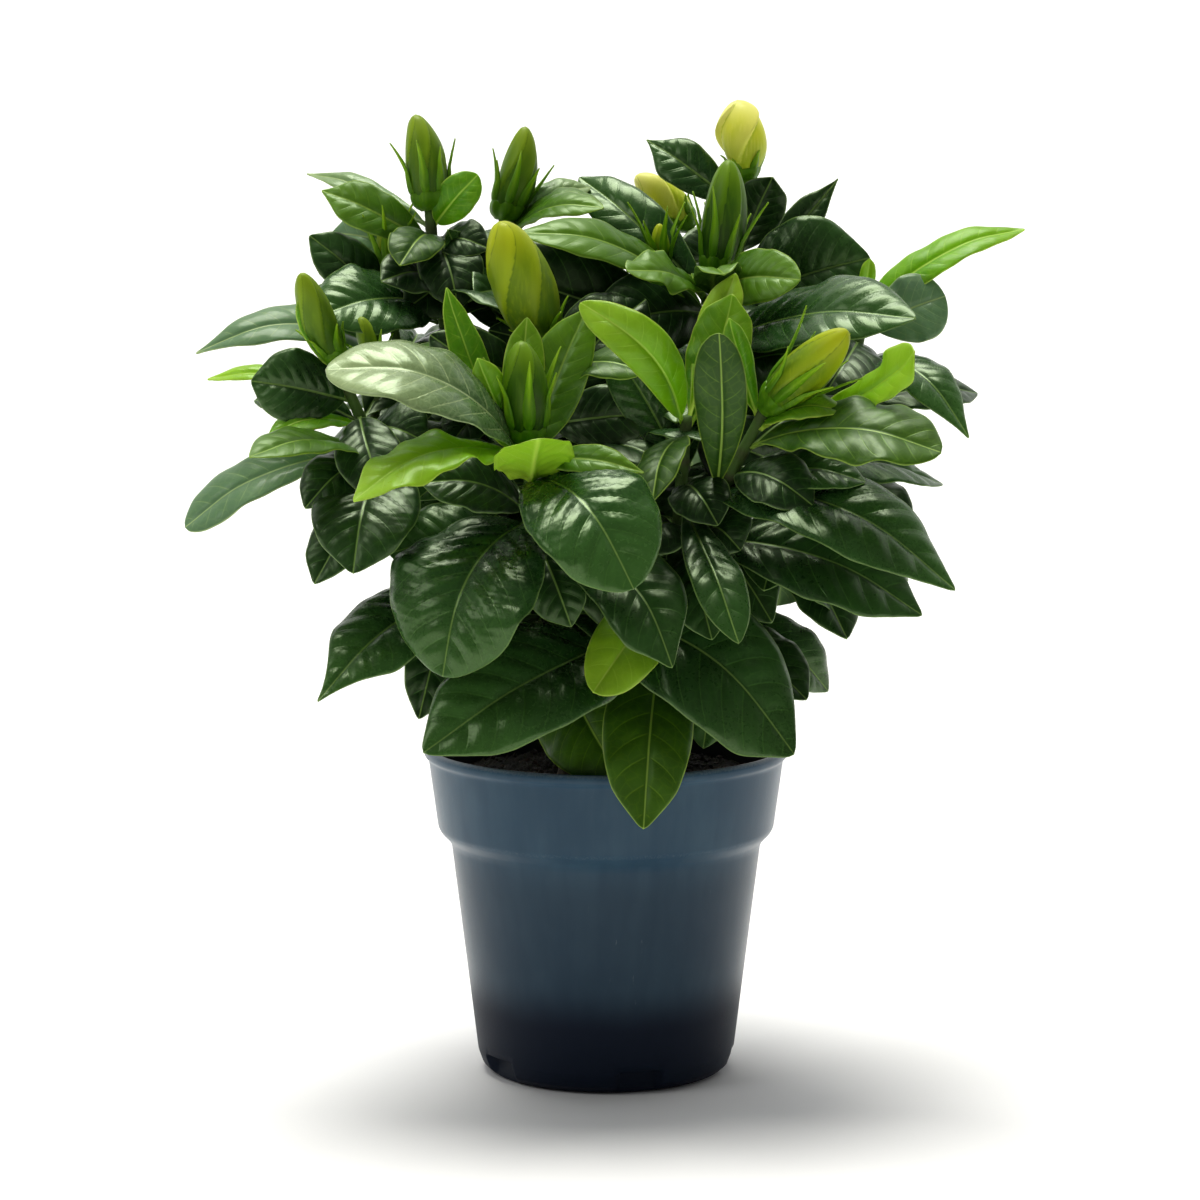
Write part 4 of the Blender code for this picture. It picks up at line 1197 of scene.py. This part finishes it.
# -------------------------------------------------------------------------------------------- buds
@dataclass(frozen=True)
class Bud:
    """A furled flower bud on top of a shoot, with a ribbed calyx cup and narrow sepals."""

    name: str
    shoot: str
    tip: Point
    radius: float
    sepals: int
    sepal_len: float
    spread: float
    finish: BudFinish
    petals: int = 5
    turns: float = 0.20      # how far the petals wind round over the bud's length
    relief: float = 0.07     # how far a petal's edge stands out, as a share of the radius
    swell: float = 0.46      # where along the bud it is widest
    sepal_w: float = 3.2     # width of a sepal, mm
    closing: float = 0.58    # how bluntly the tip closes
    neck: float = 0.34       # least girth at the foot, against the radius
    sway: float = 0.05       # how far the middle line may bend, against the length
    cup: float = 0.20        # height of the cup, against the length
    cup_min: float = 4.5     # least height of the cup, mm

    def axis(self) -> tuple[Array, Array, Array, Array, float]:
        """The straight line from the top of the shoot to the bud's tip.

        Returns:
            Base point, direction, two side directions and length.
        """
        top = SHOOTS[self.shoot].at(1.0)
        way = np.asarray(self.tip, float) - top
        length = float(np.linalg.norm(way))
        along = way / length
        side = unit(np.cross(along, BUD_ASIDE))
        return top, along, side, np.cross(along, side), length

    def girth(self, s: Array) -> Array:
        """Radius of the closed bud, mm, at a share s of its length.

        It swells and closes as s^p (1 - s)^closing, with p set so that it is widest at the swell,
        and a neck keeps it from closing at the foot.

        Args:
            s: places along the bud, 0 at its foot and 1 at its tip.

        Returns:
            The radius at each place.
        """
        p = self.swell / (1 - self.swell) * self.closing
        peak = self.swell ** p * (1 - self.swell) ** self.closing
        swell = np.clip(s, 1e-4, 1) ** p * (1 - np.clip(s, 0, 1)) ** self.closing / peak
        neck = self.neck * (1 - ease(0.0, 0.25, s))
        return self.radius * 0.97 * np.maximum(swell, neck)

    def chance(self) -> tuple[float, float]:
        """Turn of the first petal and the bend of the bud, each drawn by its name."""
        rng = dice(self.name)
        return rng.uniform(0, 1), rng.uniform(-1, 1)

    def middle(self, s: Array) -> Array:
        """Points of the bud's middle line, a straight line bent sideways by a sine.

        Args:
            s: places along the bud, 0 at its foot and 1 at its tip.

        Returns:
            The points, mm.
        """
        base, along, side, _, length = self.axis()
        bend = self.sway * length * self.chance()[1] * np.sin(np.pi * s)
        return base + (s * length)[..., None] * along + bend[..., None] * side

    def body(self) -> Patch:
        """The furled petals, as rings of the girth.

        Round it, the phase petals * (angle / full turn - turns * s) rises from 0 to 1 across each
        petal; the petal's free edge stands out by the relief and drops sharply to the next one.

        Returns:
            The closed bud with its height and furl.
        """
        _, _, side, other, _ = self.axis()
        s, a = np.linspace(0, 1, 64)[:, None], full_turn(96)[None]
        wound = a / (2 * np.pi) - self.turns * s * (0.6 + 0.6 * s)
        phase = self.petals * wound + self.chance()[0]
        saw = phase - np.floor(phase)
        edge = saw ** 1.6 * (1 - ease(0.90, 1.0, saw))
        relief = self.relief * (edge - 0.35) * ease(0.10, 0.35, s) * (1 - 0.35 * ease(0.8, 1.0, s))
        rad = self.girth(s) * (1 + relief) + 0.25
        grid = self.middle(s) + rad[..., None] * spokes(a, side, other)
        return closed_rings(grid, {"along": s + 0 * a, "furl": saw})

    def calyx(self) -> list[Patch]:
        """The cup that sheathes the bud's foot, ribbed by a cosine for each sepal, and the sepals.

        Returns:
            The closed cup and the closed sepals.
        """
        _, along, side, other, length = self.axis()
        rng = dice(self.name + "calyx")
        height = max(self.cup_min, self.cup * length)
        s, a = np.linspace(0, 1, 14)[:, None], full_turn(60)[None]
        up = s * height / length
        ribs = 1 + 0.07 * np.cos(self.sepals * a) * ease(0, 0.3, s)
        rad = np.maximum(1.9 + 0.6 * s, self.girth(up) + 0.75 * (1 - s ** 4) + 0.1) * ribs
        grid = self.middle(up) - along + rad[..., None] * spokes(a, side, other)
        parts = [closed_rings(grid, {"along": 0.25 * s + 0 * a, "furl": 0.5 + 0 * s + 0 * a})]
        for k in range(self.sepals):
            turn = 2 * math.pi * k / self.sepals + rng.uniform(-0.12, 0.12)
            out = math.cos(turn) * side + math.sin(turn) * other
            parts.append(self.sepal(out, height * 0.45, 0.8 if k % 2 else 1.0, rng))
        return parts

    def sepal(self, out: Array, foot: float, share: float, rng: np.random.Generator) -> Patch:
        """A narrow keeled blade that grows out of the cup and stands away from the bud.

        The blade's middle line steps along a direction that leans from the bud by the spread, from
        a foot inside the cup; where that would take it into the petals it is moved out to the
        girth. Its half width falls as 1 - u^2.2.

        Args:
            out: direction away from the bud's axis.
            foot: height of its foot on the cup, mm.
            share: its length against the usual.
            rng: source of small differences.

        Returns:
            The closed blade.
        """
        _, along, _, _, length = self.axis()
        reach = self.sepal_len * share * rng.uniform(0.9, 1.05)
        width = self.sepal_w * rng.uniform(0.85, 1.15)
        lean = math.radians(self.spread) * rng.uniform(0.8, 1.1)
        steps, across = 25, 7
        u = np.linspace(0, 1, steps + 1)[:, None]
        v = np.concatenate([np.linspace(-1, 1, across), np.linspace(1, -1, across)])[None]
        angle = lean * (0.55 + 0.6 * u)
        up = foot + np.cumsum(np.cos(angle), axis=0) * reach / steps
        away = self.girth(foot / length) + np.cumsum(np.sin(angle), axis=0) * reach / steps
        free = ease(0, 0.2, u)
        away = np.maximum(away, self.girth(up / length) + 0.9 * u + 0.4 * free) - 0.3 * (1 - free)
        line = self.middle(up / length) + away[..., None] * out
        wide = np.cross(along, out)
        sway = rng.uniform(-0.08, 0.08) * reach * u ** 2
        half = 0.5 * width * (0.75 + 0.25 * np.sin(np.pi * ease(0, 0.7, u))) * (1 - u ** 2.2) + 0.12
        face = -np.sin(angle)[..., None] * along + np.cos(angle)[..., None] * out
        under = np.repeat((0.0, 1.0), across)[None]
        thick = 0.30 + 0.55 * (1 - np.abs(v)) * (1 - 0.7 * u)
        lift = -0.35 * half * np.abs(v) + under * thick
        grid = line + (half * v + sway)[..., None] * wide + lift[..., None] * face
        return closed_rings(grid, {"along": u + 0 * v, "furl": 1 - np.abs(v) + 0 * u})

    def build(self, skins: dict[str, bpy.types.Material]) -> None:
        """Makes the bud and its calyx.

        Args:
            skins: the bud materials by the names of their finishes.
        """
        place(self.name + "_petals", self.body(), skins[self.finish.name], self.finish.slot,
              (self.name,))
        place(self.name + "_calyx", joined(self.calyx()), skins[SEPAL_SKIN.name], SEPAL_SKIN.slot)


BUDS: tuple[Bud, ...] = (
    Bud("bud_front", "front", (-29, -60, 268), 8.0, 6, 29, 24, GREEN_BUD, sepal_w=5.0, swell=0.44),
    Bud("bud_big", "big", (-37, -32, 307), 11.0, 5, 16, 48, OLIVE_BUD, turns=0.34, relief=0.05,
        swell=0.50),
    Bud("bud_right", "right", (82, -67, 272), 8.2, 8, 33, 24, OLIVE_BUD, sepal_w=3.4, turns=0.1),
    Bud("bud_rear_right", "rear_right", (44, 22, 326), 8.0, 8, 28, 26, GREEN_BUD, petals=7,
        turns=0.05, swell=0.44),
    Bud("bud_top_opening", "rear_high", (48, 62, 346), 8.5, 5, 10, 40, CREAM_BUD, petals=3,
        turns=0.36, relief=0.32, swell=0.58),
    Bud("bud_top_second", "high_twig", (11, 72, 318), 6.5, 5, 10, 45, CREAM_BUD, petals=3,
        turns=0.3, relief=0.15),
    Bud("bud_rear_left", "rear_left", (-68, 22, 342), 7.4, 7, 22, 20, SOFT_BUD, swell=0.38,
        sepal_w=3.8),
    Bud("bud_rear_centre", "rear_centre", (-29, 42, 337), 6.9, 7, 22, 22, SOFT_BUD, swell=0.36,
        sepal_w=3.8),
    Bud("bud_left", "left", (-105, -44, 290), 6.0, 5, 14, 30, SOFT_BUD),
    Bud("bud_left_small", "left_twig", (-86, -20, 273), 4.0, 5, 16, 36, SOFT_BUD),
    Bud("bud_calyx_left", "mid_left", (-79, 19, 305), 3.2, 6, 30, 26, OLIVE_BUD),
    Bud("bud_calyx_inner", "inner_twig", (19, 24, 303), 3.2, 6, 24, 28, OLIVE_BUD),
)


# ------------------------------------------------------------------------------------ pot and soil
@dataclass
class Pot:
    """The moulded nursery pot: rolled lip, collar, step, tapered body, foot, notches and holes."""

    rim_r: float = 65.0
    height: float = 118.0
    wall: float = 1.2
    collar_top_r: float = 63.4
    collar_low_r: float = 60.2
    collar_z: float = 88.0
    body_top_r: float = 55.4
    body_low_r: float = 46.2
    foot_r: float = 40.5
    foot_in_r: float = 35.0
    pad_r: float = 13.0
    raise_z: float = 2.2
    floor_t: float = 1.6
    notches: int = 5
    notch_r: float = 42.0
    notch_w: float = 15.0
    notch_h: float = 8.0
    holes: int = 8
    hole_r: float = 3.2
    hole_circle: float = 24.0
    drill_z: tuple[float, float] = (-3.0, 9.0)
    turn: float = -3.0        # azimuth of the first notch, degrees
    oval: float = 0.0025      # how far the rim is out of round, against the radius

    def profile(self) -> tuple[Array, Array]:
        """The section: from the floor's middle up the inside, over the lip and under the foot.

        The corner points are joined by straight runs cut to half a millimetre, then each point is
        averaged with its neighbours, which rounds every corner by about a millimetre. Of the points
        on straight runs every fifth is kept.

        Returns:
            Radii and heights, mm.
        """
        floor, w = self.raise_z + self.floor_t, self.wall
        corners = np.array([
            (0.0, floor), (self.foot_r - 4, floor), (self.foot_r - 1.6, self.notch_h + 3.6),
            (self.body_low_r - w + 0.5, self.notch_h + 5),
            (self.body_top_r - w, self.collar_z - 5.5),
            (self.body_top_r - w + 0.6, self.collar_z - 3),
            (self.collar_low_r - w - 0.3, self.collar_z + 1.2),
            (self.collar_top_r - w, self.height - 4),
            (self.collar_top_r - w + 0.2, self.height - 0.9),
            (self.collar_top_r - 0.2, self.height + 0.15), (self.rim_r - 0.9, self.height + 0.1),
            (self.rim_r + 0.1, self.height - 1.0), (self.rim_r + 0.1, self.height - 3.2),
            (self.collar_top_r + 0.2, self.height - 4.4), (self.collar_top_r, self.height - 5.6),
            (self.collar_low_r, self.collar_z + 0.8),
            (self.collar_low_r - 0.9, self.collar_z - 0.9),
            (self.body_top_r + 0.9, self.collar_z - 4), (self.body_top_r, self.collar_z - 6),
            (self.body_low_r, 7.0), (self.body_low_r - 1.6, 2.6), (self.body_low_r - 4, 0.5),
            (self.foot_r, 0.0), (self.foot_in_r, 0.0), (self.foot_in_r - 1, self.raise_z),
            (self.pad_r + 1, self.raise_z), (self.pad_r, 0.0), (0.0, 0.0)])
        runs = np.linalg.norm(np.diff(corners, axis=0), axis=1)
        far = np.concatenate([[0], np.cumsum(runs)])
        at = np.linspace(0, far[-1], int(far[-1] / 0.5))
        r, z = np.interp(at, far, corners[:, 0]), np.interp(at, far, corners[:, 1])
        for _ in range(2):
            r[1:-1] = 0.5 * r[1:-1] + 0.25 * (r[:-2] + r[2:])
            z[1:-1] = 0.5 * z[1:-1] + 0.25 * (z[:-2] + z[2:])
        slope = np.arctan2(np.gradient(z), np.gradient(r))
        keep = np.concatenate([[True], np.abs(np.diff(slope)) > 0.01])
        keep |= np.arange(len(r)) % 5 == 0
        return np.maximum(r[keep], 0.02), np.clip(z[keep], 0.0, None)

    def skin(self) -> Patch:
        """Turns the profile round Z and presses the notches in.

        Round each notch the radius under its top is cut to the flat r = notch radius / cos(angle).
        The rim is very slightly oval, by a cosine of twice the angle.

        Returns:
            The closed shell with its height, inner side and wear.
        """
        r, z = (x[:, None] for x in self.profile())
        a = full_turn(240)[None]
        outer = np.arange(len(r))[:, None] > int(np.argmax(z))
        pitch = 2 * np.pi / self.notches
        off = (a - math.radians(self.turn) + pitch / 2) % pitch - pitch / 2
        flat = self.notch_r / np.cos(off)
        inside = ease(self.notch_w / 2 + 0.5, self.notch_w / 2 - 0.3, np.abs(off) * self.body_low_r)
        pressed = inside * ease(self.notch_h + 0.6, self.notch_h - 0.4, z) * outer
        oval = 1 + self.oval * np.cos(2 * a + 0.6) * ease(20, 118, z)
        radius = (r - pressed * np.maximum(r - flat, 0)) * oval
        lip = (np.exp(-((z - self.height) / 2.0) ** 2)
               + 0.7 * np.exp(-((z - self.collar_z) / 2.0) ** 2))
        return closed_rings(around(radius, a, z), {
            "height": z + 0 * a, "inner": 1.0 * (~outer & (z < self.height - 2)) + 0 * a,
            "wear": lip * outer * 0.8 + 0 * a})

    def build(self) -> None:
        """Makes the pot and drills its drain holes with a ring of upright round rods."""
        pot = place("nursery_pot", self.skin(), PotFinish().material(), "pot_plastic", ("pot",))
        rods = []
        for t in np.radians(360 / self.holes * (np.arange(self.holes) + 0.5)):
            rod = around(self.hole_r, full_turn(24), np.array(self.drill_z)[:, None])
            rods.append(closed_rings(around(self.hole_circle, t, 0.0) + rod, {}))
        drill = added("drain_drills", mesh_of("drain_drills", joined(rods)))
        mod = pot.modifiers.new("drain_holes", "BOOLEAN")
        mod.operation, mod.solver, mod.object = "DIFFERENCE", "EXACT", drill
        graph = bpy.context.evaluated_depsgraph_get()
        drilled = bpy.data.meshes.new_from_object(pot.evaluated_get(graph), depsgraph=graph)
        pot.modifiers.clear()
        pot.data = drilled
        bpy.data.objects.remove(drill)


@dataclass
class Soil:
    """The peat in the pot: a rough surface and loose crumbs, with the root ball under it.

    The ball is given by the radius and height of each ring under the surface.
    """

    radius: float = 60.6
    level: float = 107.0
    crumbs: int = 620
    crumb_size: tuple[float, float] = (0.7, 2.1)
    ball: tuple[tuple[float, float], ...] = ((58.6, 90.0), (53.0, 84.0), (51.5, 70.0), (0.2, 70.0))

    def surface_height(self, r: Array, a: Array) -> Array:
        """Level of the peat: a sum of crossed sines, lower at the pot's wall.

        Args:
            r: distance from the middle, mm.
            a: azimuth, radians.

        Returns:
            The level, mm.
        """
        x, y = r * np.cos(a), r * np.sin(a)
        lumps = (0.7 * np.sin(0.31 * x + 1.3) * np.sin(0.27 * y + 0.4)
                 + 0.5 * np.sin(0.83 * x - 0.5 * y)
                 + 0.35 * np.sin(1.7 * y + 0.9 * x) + 0.25 * np.sin(2.9 * x - 1.1 * y + 2))
        return self.level + lumps - 2.2 * ease(46, 60, r)

    def skin(self) -> Patch:
        """Rings from the middle of the surface out to the wall, then down to the hidden floor.

        Returns:
            The closed ball of roots.
        """
        a = full_turn(180)[None]
        r = np.linspace(0.2, self.radius, 90)[:, None]
        low = np.array(self.ball)[:, None]
        rings = around(r, a, self.surface_height(r, a)), around(low[..., 0], a, low[..., 1])
        return closed_rings(np.concatenate(rings), {})

    def scatter(self, seed: str) -> Patch:
        """Loose lumps: small irregular solids strewn evenly over the surface.

        Each lump is a sphere of four rings of six points whose radius is changed at each point by
        a random factor, squeezed and turned, all lumps worked out in one array.

        Args:
            seed: name that fixes the lumps.

        Returns:
            All lumps in one patch.
        """
        rng, count = dice(seed), self.crumbs
        r = self.radius * 0.985 * np.sqrt(rng.uniform(0, 1, count))
        a = rng.uniform(0, 2 * np.pi, count)
        z = self.surface_height(r, a)
        lat = np.linspace(0.25, np.pi - 0.25, 4)[:, None]
        ball = around(np.sin(lat), full_turn(6), np.cos(lat))
        rough = rng.uniform(0.65, 1.3, (count, 4, 6, 1))
        squeeze = rng.uniform((0.7, 0.5, 0.35), (1.6, 1.0, 0.8), (count, 3))[:, None, None]
        scale = rng.uniform(*self.crumb_size, (count, 1, 1, 1))
        scale = scale * rng.uniform(0.6, 1, (count, 1, 1, 1))
        lumps = ball * rough * squeeze * scale
        turn = rng.uniform(0, 2 * np.pi, count)[:, None, None]
        x = lumps[..., 0] * np.cos(turn) - lumps[..., 1] * np.sin(turn)
        y = lumps[..., 0] * np.sin(turn) + lumps[..., 1] * np.cos(turn)
        at = around(r, a, z + 0.25)[:, None, None]
        lumps = np.stack([x, y, lumps[..., 2]], axis=-1) + at
        return joined([closed_rings(lump, {}) for lump in lumps])

    def build(self) -> None:
        """Makes the surface and the crumbs."""
        peat = SoilFinish("peat_skin", (0.0045, 0.0038, 0.0034), (0.028, 0.017, 0.010), 0.88)
        bark = SoilFinish("crumb_skin", (0.008, 0.006, 0.005), (0.055, 0.030, 0.018), 0.82)
        place("root_ball", self.skin(), peat.material(), "potting_soil", ("soil",))
        place("peat_crumbs", self.scatter("peat"), bark.material(), "potting_soil")


# ------------------------------------------------------------------------------------------ studio
@dataclass
class Studio:
    """Pale floor, soft light and the camera. Lengths are in metres."""

    distance: float = 1.6
    height: float = 0.397
    pitch: float = 8.07           # degrees that the camera looks down
    lens: float = 135.66          # mm
    sensor: float = 36.0          # mm
    shift: float = -0.005         # share of the picture's width
    reach: float = 70.0           # half the side of the floor
    floor_z: float = -0.0002
    floor_tones: tuple[float, float] = (0.91, 0.93)
    sky_power: float = 3.5
    sky_angle: float = 34.0       # degrees across, which sets how soft its shadows are
    sky_tint: Colour = (1.0, 0.985, 0.93)
    sky_way: Point = (0.07, -0.20, -0.97)
    fill_power: float = 2.5       # watts
    fill_size: float = 0.5
    fill_at: Point = (-0.9, -0.5, 1.0)
    fill_aim: Point = (0.0, 0.0, 0.22)

    def floor(self) -> None:
        """A level pale sheet."""
        r, z = self.reach, self.floor_z
        mesh = bpy.data.meshes.new("pale_floor")
        mesh.from_pydata([(-r, -r, z), (r, -r, z), (r, r, z), (-r, r, z)], [], [(0, 1, 2, 3)])
        p = Paint("floor_skin")
        dim, pale = ((tone,) * 3 for tone in self.floor_tones)
        tone = p.mix(p.noise(3, 2), dim, pale)
        mesh.materials.append(p.finish(tone, Roughness=0.9, Specular_IOR_Level=0.1))
        added("pale_floor", mesh)

    def lamp(self, name: str, kind: str, at: Point, aim: Point, **settings: object) -> None:
        """A lamp that shines from one point to another.

        Args:
            name: its name.
            kind: type of light.
            at: its place.
            aim: point that it shines at.
            **settings: its power, size and tint.
        """
        data = bpy.data.lights.new(name, kind)
        for key, value in settings.items():
            setattr(data, key, value)
        obj = added(name, data)
        obj.location = at
        obj.rotation_euler = (Vector(aim) - Vector(at)).to_track_quat("-Z", "Y").to_euler()

    def light(self) -> None:
        """A surround that is white behind the plant and dim in front, a sky, and a small fill."""
        p = Paint("soft_surround", bpy.data.worlds)
        way = p.out(p.node("ShaderNodeTexCoord"), "Generated")
        back = p.out(p.node("ShaderNodeSeparateXYZ", {}, {0: way}), "Y")
        shine = p.ease(back, -0.15, 0.75) * 0.95 + 0.11
        lit = p.node("ShaderNodeBackground", {}, {"Color": (1, 1, 1, 1), "Strength": shine})
        p.node("ShaderNodeOutputWorld", {}, {"Surface": p.out(lit)})
        bpy.context.scene.world = p.material
        self.lamp("sky", "SUN", (0, 0, 0), self.sky_way, energy=self.sky_power,
                  angle=math.radians(self.sky_angle), color=self.sky_tint)
        self.lamp("left_high", "AREA", self.fill_at, self.fill_aim, energy=self.fill_power,
                  size=self.fill_size)

    def camera(self) -> None:
        """The camera in front of the plant, looking a little down."""
        data = bpy.data.cameras.new("front_view")
        data.sensor_width, data.lens, data.shift_x = self.sensor, self.lens, self.shift
        data.clip_end = 50
        obj = added("front_view", data)
        obj.location = (0, -self.distance, self.height)
        obj.rotation_euler = (math.radians(90 - self.pitch), 0, 0)
        bpy.context.scene.camera = obj
        bpy.context.scene.view_settings.view_transform = "Standard"

    def build(self) -> None:
        """Sets the stage."""
        self.floor()
        self.light()
        self.camera()


def main() -> None:
    """Builds the parts in order."""
    logging.basicConfig(level=logging.INFO, format="%(name)s %(message)s")
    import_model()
    Studio().build()
    Pot().build()
    Soil().build()
    Stems().build()
    Foliage().build()
    finishes = (GREEN_BUD, OLIVE_BUD, SOFT_BUD, CREAM_BUD, SEPAL_SKIN)
    skins = {finish.name: finish.material() for finish in finishes}
    for bud in BUDS:
        bud.build(skins)


if __name__ == "__main__":
    main()
